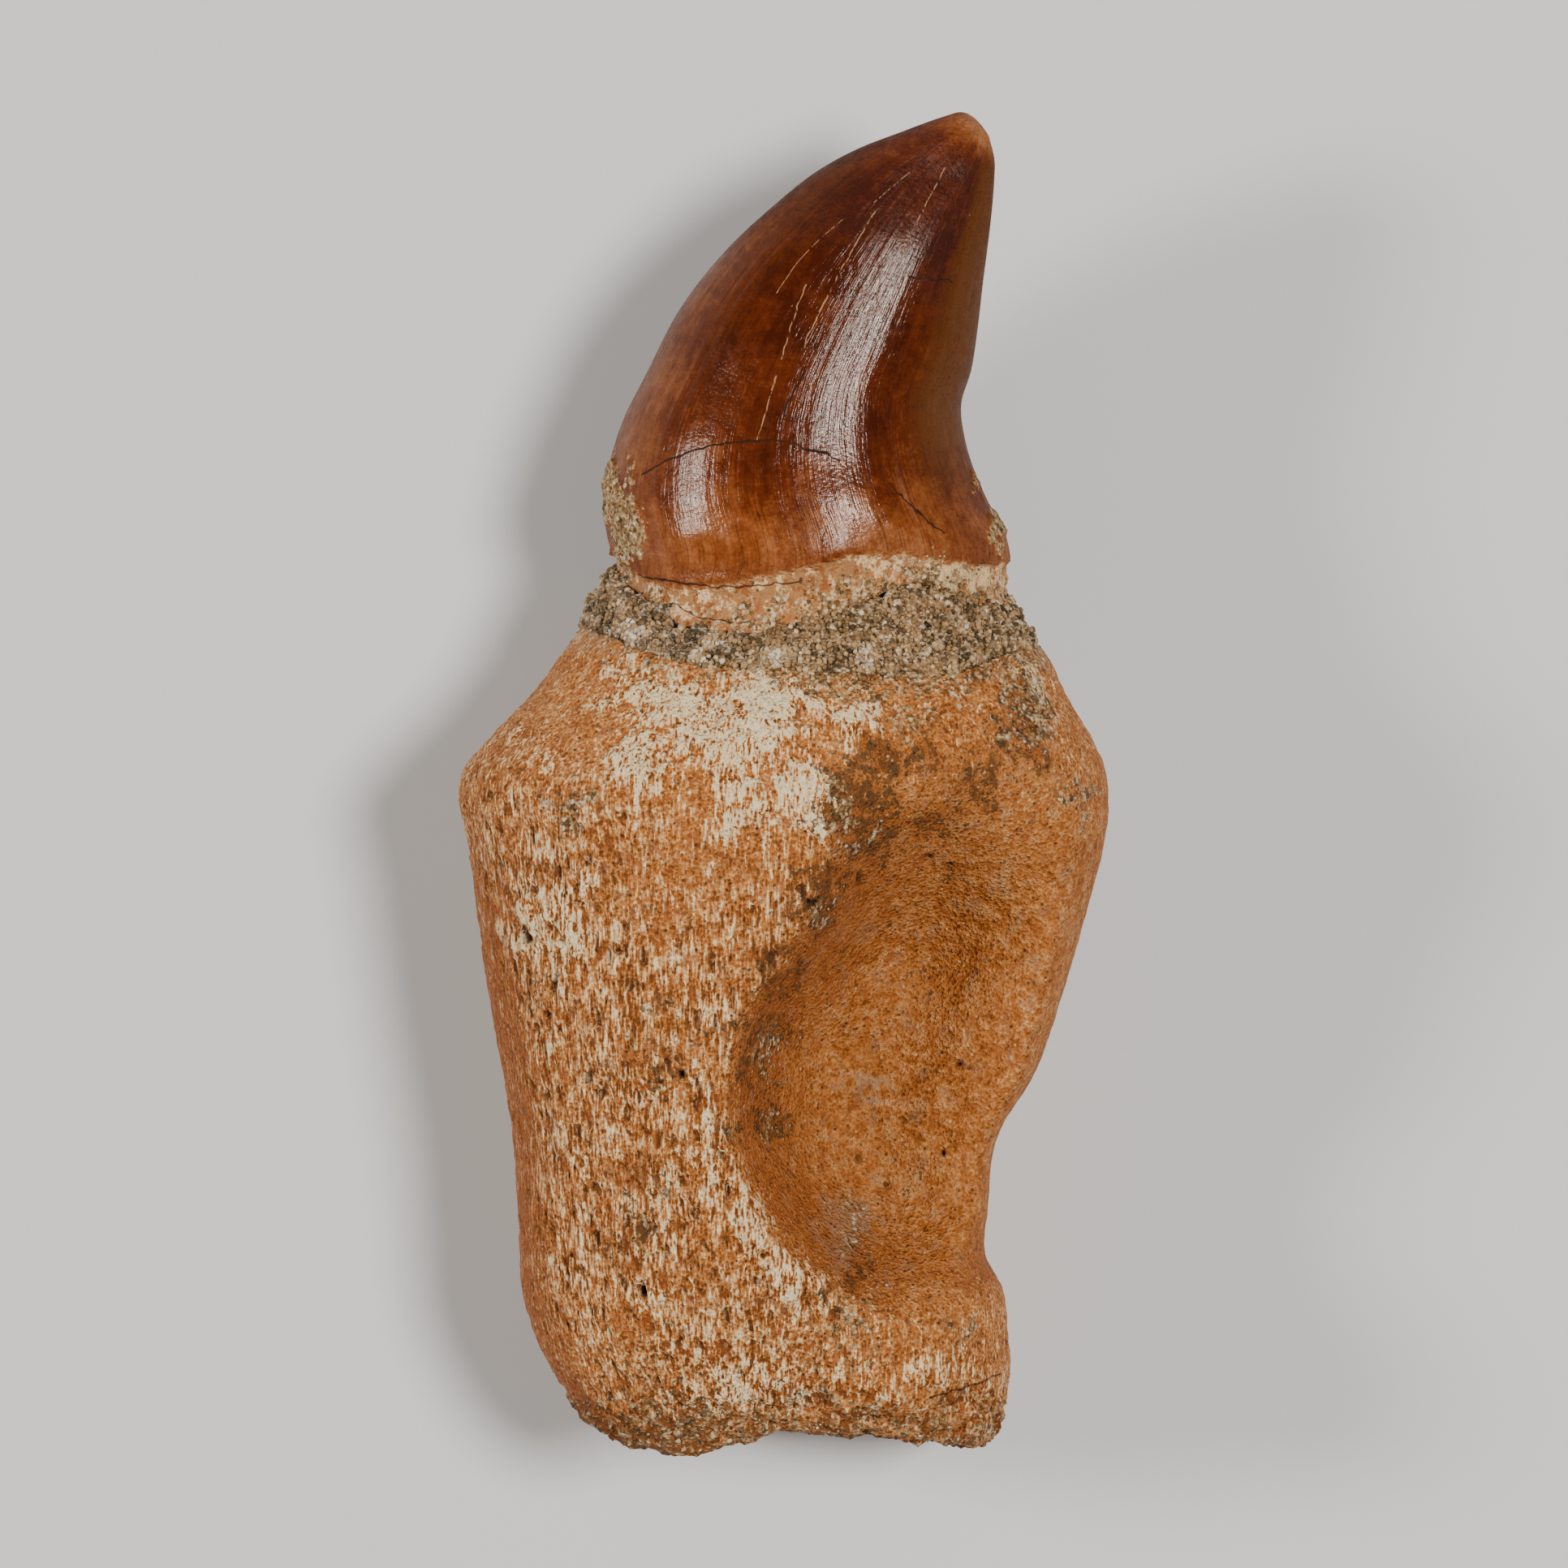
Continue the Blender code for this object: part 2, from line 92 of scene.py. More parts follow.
# Crest of the resorption hollow, from its soft start under the neck round to the right-hand rim
CREST = (
    (4.4, 2.6), (2.3, -0.2), (1.1, -3.7), (-0.2, -6.2), (-1.7, -8.5), (-2.25, -11.3), (-2.1, -13.4),
    (-1.25, -15.6), (0.1, -17.5), (1.9, -19.1), (4.4, -20.2), (6.6, -20.1), (9.2, -18.9),
)
CREST_POINTS = 80  # points on the smooth line through the crest
CREST_ROUND = 0.45  # radius that softens the crest
RIM_ROUND = 1.0  # how softly the hollow runs out into the right-hand side
HOLLOW_FLOOR = 10.0  # height of the floor, which rises past HOLLOW_RIM_X and below HOLLOW_FOOT_Y
HOLLOW_WALL, WALL_CURVE = 5.2, 2.3  # width of the wall, and how it curves
HOLLOW_FADE = (2.6, -7.5)  # where the hollow starts under the neck, and where it is at its full depth
HOLLOW_RIM_X, HOLLOW_RIM_RISE = 3.6, 0.055
HOLLOW_FOOT_Y, HOLLOW_FOOT_RISE = -14.5, 0.1

# Lobes of the broken base: middle across the tooth, half width, how far it hangs down
BASE_LOBES = ((-4.2, 1.7, 0.35), (0.2, 1.5, -0.2), (4.0, 1.8, 0.2), (6.9, 1.3, 0.45))
BASE_DISH = 1.3  # depth of the dished face
BASE_ROUGH = 0.5
BASE_REACH = 2.2  # how far up the root the lobes are felt
BASE_ROWS = 44
BASE_FLOW = 8.0  # length of the pattern from the middle of the base to its rim
TIP_ROWS = (0.9, 0.76, 0.6, 0.42, 0.22)  # sizes of the rows that close the tip

CROWN_FROM = 8.6  # where the crown begins along the tooth
# Grooves of the crown: place across at the crown's base, the same near its tip, half width, height
CROWN_RELIEF = ((-0.15, -0.15, 0.22, -0.1), (0.62, 0.66, 0.13, -0.2))
# Soft swellings and dents of the crown: x, y, half width, half length, height
CROWN_SWELLS = (
    (5.7, 10.9, 1.5, 1.5, -0.3), (-4.55, 9.0, 2.3, 1.2, 0.23), (-4.2, 12.75, 1.5, 1.2, 0.09),
    (-1.6, 16.2, 1.3, 1.2, 0.05), (2.45, 9.25, 2.2, 0.9, -0.11), (5.5, 22.4, 2.0, 1.4, -0.15),
)
ROOT_LIP = ((-8.0, 5.3), (-2.4, 4.2), 0.55, 0.35)  # start, end, half width, height
SHOULDER_RIDGE = (-0.4, 0.9, 0.3)  # y, half width, height
RIDGE_X = (3.0, -2.0)  # where the ridge begins, and where it has its height

# Size of the lumps in the surface, and their height on the root
LUMPS = ((6.5, 0.5), (2.4, 0.2))
CROWN_SMOOTH = 0.93  # share of the lumps that the crown lacks
ROUGHER, FINER = 0.7, 2.0  # how fast the octaves of a noise grow weaker, and how much finer each one is

# The sandy ring's lower and upper edge at turns round the neck, from the right-hand side over the top
COLLAR_EDGES = (
    (0.0, 5.5, 6.8), (0.09, 5.1, 6.6), (0.17, 4.2, 7.2), (0.235, 4.35, 6.1), (0.29, 4.5, 5.45),
    (0.34, 4.9, 5.85), (0.41, 5.7, 7.0), (0.5, 6.1, 7.9), (0.62, 5.1, 7.6), (0.75, 4.9, 7.2),
    (0.88, 5.1, 7.3),
)
GROOVE_DEPTH = 1.35
GROOVE_EDGE = 0.18
NECK = (2.4, 9.8)  # part of the tooth that holds the whole ring
RING_ROUND, RING_ACROSS = 320, 30  # points round the ring, and across its outer side
RING_PLACES = 110  # places along the neck at which the skin is read
NECK_RADIUS = 7
RING_DEPTH = 0.9  # how far the ring's inner side lies under the skin
RING_LIFT, RING_SINK = 0.05, 0.16  # how far its middle stands proud, and its edges lie under the skin
RING_GAP, RING_WAVE = 0.05, 0.4  # gap to the groove's edge, and how far the ring's edges stray
GRAIN_SQUEEZE = (0.65, 1.25)
GRAIN_LIFT = 0.25  # how far a grain's middle stands proud, in radii
GRAIN_SHARP = 30.0  # degrees between faces, past which a grain's edge is sharp

# Distance along the tooth where the enamel ends, at turns round the neck
ENAMEL_EDGE = (
    (0.0, 8.35), (0.06, 8.2), (0.1, 8.15), (0.145, 8.35), (0.18, 8.55), (0.215, 8.45), (0.25, 8.05),
    (0.285, 7.7), (0.315, 7.4), (0.37, 7.35), (0.415, 7.8), (0.46, 8.4), (0.5, 8.6), (0.62, 7.9),
    (0.75, 8.1), (0.88, 7.9),
)

PATCH_END = 1.25  # where a patch ends, in half widths from its middle
# Patches seen from above: x, y, half width, half length, lean to the right in degrees, strength
CREAM_PATCHES = (
    (-3.9, 3.2, 3.3, 1.3, 0, 1.05), (-0.6, 2.9, 2.6, 1.7, 0, 1.1), (2.6, 2.5, 1.4, 1.1, 25, 0.9),
    (-2.2, 1.3, 2.9, 1.6, 0, 0.95), (-5.2, 0.6, 1.3, 2.0, -10, 0.8), (0.9, -0.2, 1.0, 2.1, -15, 1.1),
    (-1.2, -0.6, 1.6, 1.6, 0, 0.8), (-9.2, 1.4, 1.2, 0.7, 0, 0.6), (9.2, 3.6, 0.7, 1.7, -28, 1.0),
    (-7.2, -3.7, 0.5, 1.2, 15, 1.1), (-9.6, -5.4, 0.9, 1.6, -8, 1.0), (-8.2, -5.6, 0.7, 1.9, -8, 0.8),
    (0.6, -18.4, 1.2, 1.1, -45, 0.75), (-1.2, -16.6, 0.7, 1.4, -25, 0.75),
    (-2.9, -13.6, 0.8, 2.6, 0, 0.6), (5.0, -21.8, 3.0, 1.2, 0, 0.5), (-1.6, -22.8, 3.4, 0.8, 0, 0.65),
    (7.4, -22.6, 1.2, 1.2, 0, 0.45), (6.4, 7.7, 2.1, 0.6, 0, 1.3), (9.4, -8.3, 0.8, 4.0, 17, 0.55),
    (7.5, 14.6, 0.3, 1.4, 0, 0.5),
)
CROWN_CRUST = (
    (-5.75, 9.7, 0.75, 2.2, 5, 1.0), (-6.4, 10.9, 0.6, 1.3, 0, 0.8), (8.0, 9.6, 0.45, 1.5, 10, 0.8),
    (7.2, 10.9, 0.3, 0.7, 0, 0.6),
)
STAINS = (
    (2.7, -0.9, 1.7, 2.1, -15, 1.2), (1.3, -4.2, 1.2, 1.5, 20, 1.0), (4.0, 0.8, 2.2, 1.1, 0, 0.8),
    (5.3, -1.6, 2.4, 1.6, 0, 0.55), (-0.4, -6.8, 0.9, 1.8, -20, 0.7), (-1.0, -9.6, 1.5, 2.2, 0, 0.7),
    (-0.9, -12.7, 1.4, 0.8, 0, 0.85), (2.2, -18.5, 1.6, 0.8, -35, 0.75), (9.1, 2.0, 1.2, 1.7, -20, 0.75),
    (7.3, 0.3, 1.2, 1.1, 0, 0.6), (-7.4, -1.0, 1.3, 0.5, 0, 0.6), (-4.6, -10.6, 0.4, 1.7, -8, 0.5),
    (-5.5, -16.5, 1.6, 2.0, 0, 0.35),
)
GRIT = (
    (4.9, 2.3, 0.9, 0.8, 0, 1.0), (9.2, 2.6, 1.1, 1.7, -20, 1.2), (10.8, -0.6, 1.0, 0.9, 0, 0.9),
    (2.2, -1.4, 1.2, 1.5, 0, 0.9), (1.2, -4.6, 0.9, 0.8, 0, 0.9), (-6.3, -10.2, 0.5, 0.5, 0, 1.0),
    (-5.1, -8.0, 0.4, 0.7, 0, 0.9), (2.8, -17.0, 0.8, 1.1, 0, 0.8), (6.5, -20.3, 0.8, 0.6, 0, 1.0),
    (-7.6, -1.0, 1.3, 0.5, 0, 0.9), (1.6, 3.9, 2.4, 0.5, 0, 0.9), (3.0, -19.6, 2.6, 0.6, -10, 0.6),
    (-0.5, -10.0, 1.0, 0.9, 0, 0.75), (-0.9, -12.8, 0.9, 0.5, 0, 0.7), (2.4, -16.0, 0.7, 1.0, 0, 0.6),
)
ASH = ((2.5, -16.6, 1.3, 1.5, 0, 1.0), (3.2, -11.2, 1.6, 0.9, -20, 0.6), (-0.5, -10.0, 0.9, 1.0, 0, 0.6))
WHITE_SAND = (
    (-0.3, 4.75, 1.1, 0.35, 0, 1.0), (-5.5, 5.7, 0.7, 0.5, 0, 1.0), (3.2, 4.6, 0.5, 0.5, 0, 1.0),
    (-2.6, 5.2, 0.8, 0.25, 0, 0.7),
)
# Patches of the crown with less gloss
DULL_PATCHES = ((0.7, 9.6, 0.9, 1.9, 0, 0.85), (5.7, 19.3, 0.9, 2.3, 10, 0.85))
# Holes in the sandy ring, as patches, with dark olive painted in as the shade inside them
SAND_HOLES = ((5.35, 5.9, 0.16, 0.14, 0, 1.0), (3.6, 4.9, 0.2, 0.08, 30, 0.8))
# Patches of grainy bone with few fibres
GRAINY = ((-3.4, -3.6, 3.2, 3.6, 0, 1.0), (-6.5, -21.5, 2.5, 1.5, 20, 0.7))
# Small deep holes in the bone, with painted shade at their bottoms: x, y, half width, half length
HOLES = (
    (1.15, -4.4, 0.17, 0.2), (5.42, -2.73, 0.1, 0.1), (6.15, -3.05, 0.14, 0.1), (2.85, -3.55, 0.12, 0.3),
    (-8.73, -8.55, 0.14, 0.14), (-8.58, -7.45, 0.1, 0.16), (-3.76, -10.7, 0.12, 0.2),
    (-6.1, -6.1, 0.1, 0.14), (6.55, -10.45, 0.12, 0.1), (2.82, -14.0, 0.12, 0.1), (3.85, -14.9, 0.1, 0.1),
    (5.94, -13.75, 0.09, 0.09), (-5.2, -18.8, 0.16, 0.2), (-2.06, -14.9, 0.1, 0.2),
    (-6.9, -16.8, 0.12, 0.3), (-9.5, -5.6, 0.15, 0.35),
)

# Lines on the surface, each through three points, with its half width
LIGHT_HAIRLINES = (
    ((3.45, 21.27), (1.91, 18.58), (0.7, 16.06), 0.024),
    ((0.82, 18.45), (-0.24, 15.21), (-0.97, 12.7), 0.022),
    ((6.03, 22.88), (5.15, 21.2), (4.91, 20.7), 0.024),
    ((4.79, 22.76), (3.94, 22.03), (3.33, 21.5), 0.02),
    ((2.15, 20.85), (0.94, 19.76), (-0.2, 18.2), 0.018),
)
DARK_CRACKS = (
    ((0.82, 15.33), (0.39, 14.5), (0.0, 13.67), 0.04),
    ((-5.27, 11.48), (-1.94, 12.64), (2.15, 11.97), 0.038),
    ((-5.39, 7.79), (-2.4, 7.33), (0.7, 7.48), 0.035), ((-4.18, 6.76), (-3.0, 6.18), (-1.2, 6.0), 0.03),
    ((4.67, 18.82), (5.6, 18.7), (6.3, 18.62), 0.03), ((3.94, 11.15), (5.0, 10.1), (5.97, 9.27), 0.04),
    ((5.4, -22.75), (7.0, -22.3), (8.1, -22.0), 0.035),
)

# Covers of the broken face: name, middle value, how much it varies, size of its lumps
BROKEN_FACE = (
    ("cream", 0.1, 0.6, 2.2), ("grit", 0.3, 0.6, 1.6), ("stain", 0.5, 0.5, 1.9), ("fibre", 0.1, 0.2, 0.8),
    ("cavity", 0.0, 1.2, 0.4),
)

FLOW_RADIUS = 9.0  # radius of the bar on which patterns that follow the tooth are laid

# Where covers fade in: the value at which each is 0, and the one at which it is 1
SEEN = (-0.45, 0.05)  # upward slope of the skin on the side that the photo shows
BAND_Y = (4.6, 5.6)  # the dentine band
NEAR_RING = (1.7, 0.2)
HOLLOW_Y = (2.0, -3.0)
SCOURED_Y = (-17.0, -20.0)  # the hollow's foot, where it is less brown
FOOT_Y = (-21.9, -23.6)
FOOT_LEFT = (0.5, -3.0)
CORNER_X, CORNER_Y = (1.0, 3.5), (-17.0, -19.5)
# Painted shade and wear along the left-hand edge, where the skin turns away
SHADED_WORN_SIDE, SHADED_WORN_Y = (-0.8, -0.96), (-1.0, -5.0)
FIBRE_END = (-24.0, -22.4)
LEFT_OF_CREST, BELOW_CREST = (1.5, -0.5), (0.5, -0.8)
FIBROUS_EDGE = ((9.2, -8.0, 1.4, 4.5, -8, 1.0),)  # a patch with fibres right of the hollow
DULL_TIP = (19.2, 20.9)
CAVITY = 0.12  # relief that counts as fully raised or sunk, where the painted light and shade are strongest

# Levels and the names of their colours
BONE_RAMP = (
    (0.22, "bone_brown"), (0.37, "bone_orange"), (0.5, "bone_tan"), (0.61, "bone_buff"),
    (0.76, "bone_cream"), (0.98, "bone_white"),
)
ENAMEL_RAMP = ((0.0, "enamel_deep"), (0.35, "enamel_red"), (0.7, "enamel_warm"), (1.0, "enamel_tan"))
SAND_RAMP = ((0.05, "olive"), (0.35, "gold"), (0.65, "pale"), (0.95, "white"))
GREY_SAND_RAMP = ((0.0, "olive"), (0.4, "grey"), (1.0, "white"))

# Noises of the tooth's finish: size of the lumps, detail, shift
TOOTH_NOISES = {
    "threads": ((0.108, 0.62, 0.108), 2.0, 0.0),
    "strands": ((0.32, 1.15, 0.32), 2.0, 3.0),
    "grains": (0.13, 2.0, 5.0),
    "crumbs": (0.42, 2.0, 31.0),
    "mottles": ((0.6, 0.85, 0.6), 3.0, 44.0),
    "blotches": (1.9, 3.0, 9.0),
}


def amount(name, description, value, **kind):
    """A number that the user can change, with the unit or subtype given."""
    return FloatProperty(name=name, description=description, default=value, min=0.0, **kind)


def length(name, description, millimetres):
    """A length that the user can change, given in millimetres."""
    return amount(name, description, millimetres * MM, precision=5, unit="LENGTH")


def whole(name, description, value):
    """A whole number that the user can change."""
    return IntProperty(name=name, description=description, default=value, min=1)


def tone(name, description, *value):
    """A colour that the user can change."""
    return FloatVectorProperty(
        name=name, description=description, default=value, min=0.0, max=1.0, subtype="COLOR"
    )


class ToothShape(bpy.types.PropertyGroup):
    """Fine relief of the tooth's skin."""

    top_columns: whole("Columns on top", "Points across the upper side", 196)
    under_columns: whole("Columns below", "Points across the underside", 72)
    row_gap: length("Row gap", "Distance between rows of points along the tooth", 0.16)
    enamel_step: length("Enamel step", "Height of the enamel's edge over the dentine", 0.16)
    flake_height: length("Flake height", "How far the pale flakes of bone stand proud", 0.12)
    fibre_height: length("Fibre height", "Height of the bone's fibres", 0.06)
    grain_height: length("Grain height", "Height of the bone's granular surface", 0.05)
    pit_depth: length("Pit depth", "Depth of the long pits between fibres", 0.15)
    hole_depth: length("Hole depth", "Depth of the small round holes", 0.35)
    edge_relief: length("Edge relief", "Unevenness of the broken layers at the foot", 0.35)
    stria_height: length("Stria height", "Height of the fine ridges along the crown", 0.015)


class ToothColours(bpy.types.PropertyGroup):
    """Colours of enamel, dentine and bone."""

    enamel_deep: tone("Deep enamel", "Darkest brown of the crown", 0.05, 0.006, 0.0006)
    enamel_red: tone("Red enamel", "Dark red-brown middle of the crown", 0.11, 0.017, 0.002)
    enamel_warm: tone("Warm enamel", "Orange-brown enamel of the crown's base and tip", 0.24, 0.062, 0.012)
    enamel_tan: tone("Tan enamel", "Palest enamel", 0.38, 0.135, 0.045)
    enamel_olive: tone("Olive enamel", "Olive-brown enamel of the thin flange", 0.13, 0.036, 0.002)
    hairline: tone("Hairlines", "Pale lines in the enamel", 0.62, 0.34, 0.16)
    # Dark cracks and specks, and the painted shade at the bottoms of pits, holes and sunk relief
    crack_and_pit_shade: tone("Cracks", "Dark cracks and the bottoms of pits", 0.03, 0.009, 0.003)
    dentine: tone("Dentine", "Dusty band under the enamel", 0.42, 0.19, 0.068)
    bone_brown: tone("Brown bone", "Bone in its darkest low places", 0.17, 0.05, 0.008)
    bone_orange: tone("Orange bone", "Deep orange-brown bone", 0.41, 0.12, 0.018)
    bone_tan: tone("Tan bone", "Bone between orange and cream", 0.56, 0.206, 0.05)
    bone_buff: tone("Buff bone", "Fibres of the bone", 0.74, 0.362, 0.13)
    bone_cream: tone("Cream bone", "Pale fibres and flakes", 0.92, 0.6, 0.3)
    bone_white: tone("White bone", "Palest fibres and flakes", 1.0, 0.79, 0.46)
    bone_rust: tone("Rusty bone", "Red-brown mottles", 0.33, 0.085, 0.016)
    bone_grey: tone("Grey bone", "Greyish mottles", 0.33, 0.2, 0.11)
    stain: tone("Stain", "Dark olive-brown stains", 0.085, 0.038, 0.01)


class SandSettings(bpy.types.PropertyGroup):
    """The sand round the neck and on the root."""

    grain_radius: length("Grain radius", "Mean radius of a sand grain", 0.075)
    ring_grains: whole("Grains in the ring", "Sand grains round the neck", 4000)
    root_grains: whole("Grains on the root", "Sand grains on the bone", 2200)
    ring_relief: length("Ring relief", "Unevenness of the sandy ring", 0.36)
    olive: tone("Olive sand", "Dark olive grains", 0.06, 0.036, 0.012)
    gold: tone("Gold sand", "Golden brown grains", 0.29, 0.155, 0.055)
    pale: tone("Pale sand", "Cream grains", 0.52, 0.34, 0.16)
    white: tone("White sand", "White grains", 0.72, 0.62, 0.47)
    grey: tone("Grey sand", "Olive-grey sand on the left", 0.2, 0.145, 0.08)
    rust: tone("Rusty sand", "Sand stained by the bone", 0.36, 0.15, 0.04)


class StudioSettings(bpy.types.PropertyGroup):
    """Camera, lights and floor."""

    lens: amount("Lens", "Focal length in millimetres", 250.0)
    view_width: length("View width", "Width of the picture at 10 mm above the floor", 58.545)
    key_power: amount("Key light", "Power of the left light", 10.8, unit="POWER")
    top_power: amount("Top light", "Power of the high light", 10.8, unit="POWER")
    sky: amount("Sky", "Strength of the soft light from all round", 0.16, subtype="FACTOR")
    floor: tone("Floor", "Colour of the plain floor", 0.72, 0.71, 0.69)


def worked(operation, swapped=False):
    """A method that adds a Math node for the operation."""

    def method(self, *others, clamp=False):
        values = (self, *others)
        sockets = dict(enumerate(values[::-1] if swapped else values))
        return self.finish.node("ShaderNodeMath", sockets, operation=operation, use_clamp=clamp)

    return method


class Socket:
    """A value that changes over a surface. Arithmetic on it adds Math nodes."""

    __add__ = __radd__ = worked("ADD")
    __sub__ = worked("SUBTRACT")
    __rsub__ = worked("SUBTRACT", swapped=True)
    __mul__ = __rmul__ = worked("MULTIPLY")
    __abs__ = worked("ABSOLUTE")
    most = worked("MAXIMUM")
    within = worked("COMPARE")

    def __init__(self, finish, output):
        self.finish = finish
        self.output = output

    def held(self):
        """The value kept between 0 and 1."""
        return self.__add__(0.0, clamp=True)

    def swing(self, weight):
        """How far a noise lies above or below its middle, times a weight."""
        return (self - 0.5) * weight

    def step(self, low, high):
        """0 at low, 1 at high and a smooth rise between them."""
        ends = (low, high, 0.0, 1.0) if low < high else (high, low, 1.0, 0.0)
        sockets = dict(enumerate((self, *ends)))
        return self.finish.node("ShaderNodeMapRange", sockets, interpolation_type="SMOOTHSTEP")


class Finish:
    """One procedural material, built on the sockets of its own shader."""

    def __init__(self, name, **sockets):
        self.material = bpy.data.materials.new(name)
        self.material.use_nodes = True
        self.tree = self.material.node_tree
        self.shader = self.tree.nodes["Principled BSDF"]
        self.wear(**sockets)

    def wear(self, shader=None, **sockets):
        """Sets the named sockets of a shader, which is the material's own unless another is given."""
        for name, value in sockets.items():
            self.set((shader or self.shader).inputs[name.replace("_", " ")], value)

    def second_shader(self, factor, **sockets):
        """Adds another shader, shown where the factor is 1."""
        first, second = Socket(self, self.shader.outputs[0]), self.node("ShaderNodeBsdfPrincipled", {})
        self.wear(second.output.node, **sockets)
        mixed = self.node("ShaderNodeMixShader", {0: factor, 1: first, 2: second})
        self.set(self.tree.nodes["Material Output"].inputs["Surface"], mixed)

    def set(self, socket, value):
        """Links a socket to another one, or gives it a plain value."""
        if isinstance(value, Socket):
            self.tree.links.new(value.output, socket)
        elif socket.type == "RGBA":
            socket.default_value = (*value, 1.0)
        else:
            socket.default_value = value

    def node(self, kind, sockets, output=0, **settings):
        """Adds a node with its settings and sockets, and gives back one of its outputs."""
        made = self.tree.nodes.new(kind)
        for name, value in settings.items():
            if name == "stops":
                self.set_stops(made.color_ramp.elements, value)
            else:
                setattr(made, name, value)
        for key, value in sockets.items():
            self.set(made.inputs[key], value)
        return Socket(self, made.outputs[output])

    def set_stops(self, elements, stops):
        while len(elements) < len(stops):
            elements.new(1.0)
        for element, (position, colour) in zip(elements, stops):
            element.position = position
            element.color = (*colour, 1.0)

    def place(self):
        """Place on the piece, in millimetres."""
        spot = self.node("ShaderNodeTexCoord", {}, "Object")
        return self.node("ShaderNodeVectorMath", {0: spot, "Scale": 1 / MM}, operation="SCALE")

    def attribute(self, name, output="Fac"):
        return self.node("ShaderNodeAttribute", {}, output, attribute_name=name)

    def parts(self, vector):
        made = self.node("ShaderNodeSeparateXYZ", {0: vector}).output.node
        return [Socket(self, output) for output in made.outputs]

    def scaled(self, at, size, shift):
        sizes = size if isinstance(size, tuple) else (size, size, size)
        sockets = {0: at, 1: tuple(1 / s for s in sizes), 2: (shift, shift, shift)}
        return self.node("ShaderNodeVectorMath", sockets, operation="MULTIPLY_ADD")

    def noise(self, at, size, detail=2.0, shift=0.0):
        """Noise from 0 to 1 whose lumps have the size given, or three sizes for a stretched one.

        The shift makes noises of like sizes differ.
        """
        sockets = {"Vector": self.scaled(at, size, shift), "Scale": 1.0}
        return self.node("ShaderNodeTexNoise", {**sockets, "Detail": detail, "Roughness": 0.55}, "Fac")

    def cells(self, at, size):
        """Grains of the size given: distance from a grain's middle, and two random numbers of it."""
        sockets = {"Vector": self.scaled(at, size, 0.0), "Scale": 1.0}
        near = self.node("ShaderNodeTexVoronoi", sockets, "Distance")
        tint, other, _ = self.parts(Socket(self, near.output.node.outputs["Color"]))
        return near, tint, other

    def ramp(self, level, colours, stops):
        """A colour for each level, from a table of levels and the names of their colours."""
        stops = [(position, getattr(colours, name)) for position, name in stops]
        return self.node("ShaderNodeValToRGB", {0: level}, stops=stops)

    def mix(self, factor, first, second):
        """The first colour where the factor is 0, the second where it is 1."""
        return self.node("ShaderNodeMix", {0: factor, 6: first, 7: second}, 2, data_type="RGBA")

    def coat(self, under, *coats):
        """A colour with coats over it, each a factor and a colour."""
        for factor, colour in coats:
            under = self.mix(factor, under, colour)
        return under

    def bump(self, height, distance):
        """Normals of a bumpy surface, whose height from 0 to 1 is the distance given in millimetres."""
        return self.node("ShaderNodeBump", {"Strength": 1.0, "Distance": distance * MM, "Height": height})

    def line(self, x, y, start, middle, end, half):
        """1 on a bent line through three points, and 0 off it."""
        ends = np.array([start, middle, end])
        steep = abs(start[1] - end[1]) > abs(start[0] - end[0])
        run, offset = (1, 0) if steep else (0, 1)
        bend, slope, base = np.polyfit(ends[:, run], ends[:, offset], 2).tolist()
        along, across = (y, x) if steep else (x, y)
        low, high = sorted((start[run], end[run]))
        on_curve = (along * bend + slope) * along + base
        near = abs(across - on_curve).step(half * 1.6, half * 0.4)
        return near * along.within((low + high) / 2, (high - low) / 2)


def smooth_through(knots, values, at):
    """Reads, at the places asked for, a smooth curve through the values given at the knots."""
    knots = np.asarray(knots, float)
    values = np.asarray(values, float)
    at = np.atleast_1d(np.asarray(at, float))
    if values.ndim == 1:
        values = values[:, None]
    slopes = np.gradient(values, knots, axis=0)
    i = np.clip(np.searchsorted(knots, at, side="right") - 1, 0, len(knots) - 2)
    width = (knots[i + 1] - knots[i])[..., None]
    x = (at - knots[i])[..., None] / width
    return (
        values[i] * (1 + 2 * x) * (1 - x) ** 2
        + values[i + 1] * x**2 * (3 - 2 * x)
        + width * (slopes[i] * x * (1 - x) ** 2 - slopes[i + 1] * x**2 * (1 - x))
    )


def fade(low, high, x):
    """0 at low, 1 at high and a smooth rise between them. Low may be the greater of the two."""
    t = np.clip((x - low) / (high - low), 0, 1)
    return t * t * (3 - 2 * t)


def hump(x):
    """A smooth hump of height 1 at 0, gone past 2.5 on either side."""
    return np.exp(-x * x)


def outline():
    """Left edge, right edge and place along the tooth of the chords, as arrays."""
    left, right = np.hsplit(np.array(CHORDS), 2)
    middle = (left + right) / 2
    steps = np.linalg.norm(np.diff(middle, axis=0), axis=1)
    return left, right, np.concatenate([[0], np.cumsum(steps)])


LEFT, RIGHT, ALONG = outline()
MIDDLE_Y = (LEFT + RIGHT)[:, 1] / 2
CREST_LINE = smooth_through(range(len(CREST)), CREST, np.linspace(0, len(CREST) - 1, CREST_POINTS))
LOW = int(np.argmin(CREST_LINE[:, 1]))


def crest_across(y):
    """Where the hollow's left-hand crest lies at a distance along the tooth."""
    side = CREST_LINE[LOW::-1]
    return np.interp(y, side[:, 1], side[:, 0])


def hollow_distance(x, y):
    """Distance inwards from the hollow's crest, and 0 on the outer side of it."""
    nearest = np.full(x.shape, np.inf)
    for start, end in zip(CREST_LINE[:-1], CREST_LINE[1:]):
        run = end - start
        along = ((x - start[0]) * run[0] + (y - start[1]) * run[1]) / (run @ run)
        along = np.clip(along, 0, 1)
        away = np.hypot(x - start[0] - along * run[0], y - start[1] - along * run[1])
        nearest = np.minimum(nearest, away)
    foot = CREST_LINE[LOW:]
    inside = (x > crest_across(y)) & (y > np.interp(x, foot[:, 0], foot[:, 1]))
    return np.where(inside, nearest, 0.0)


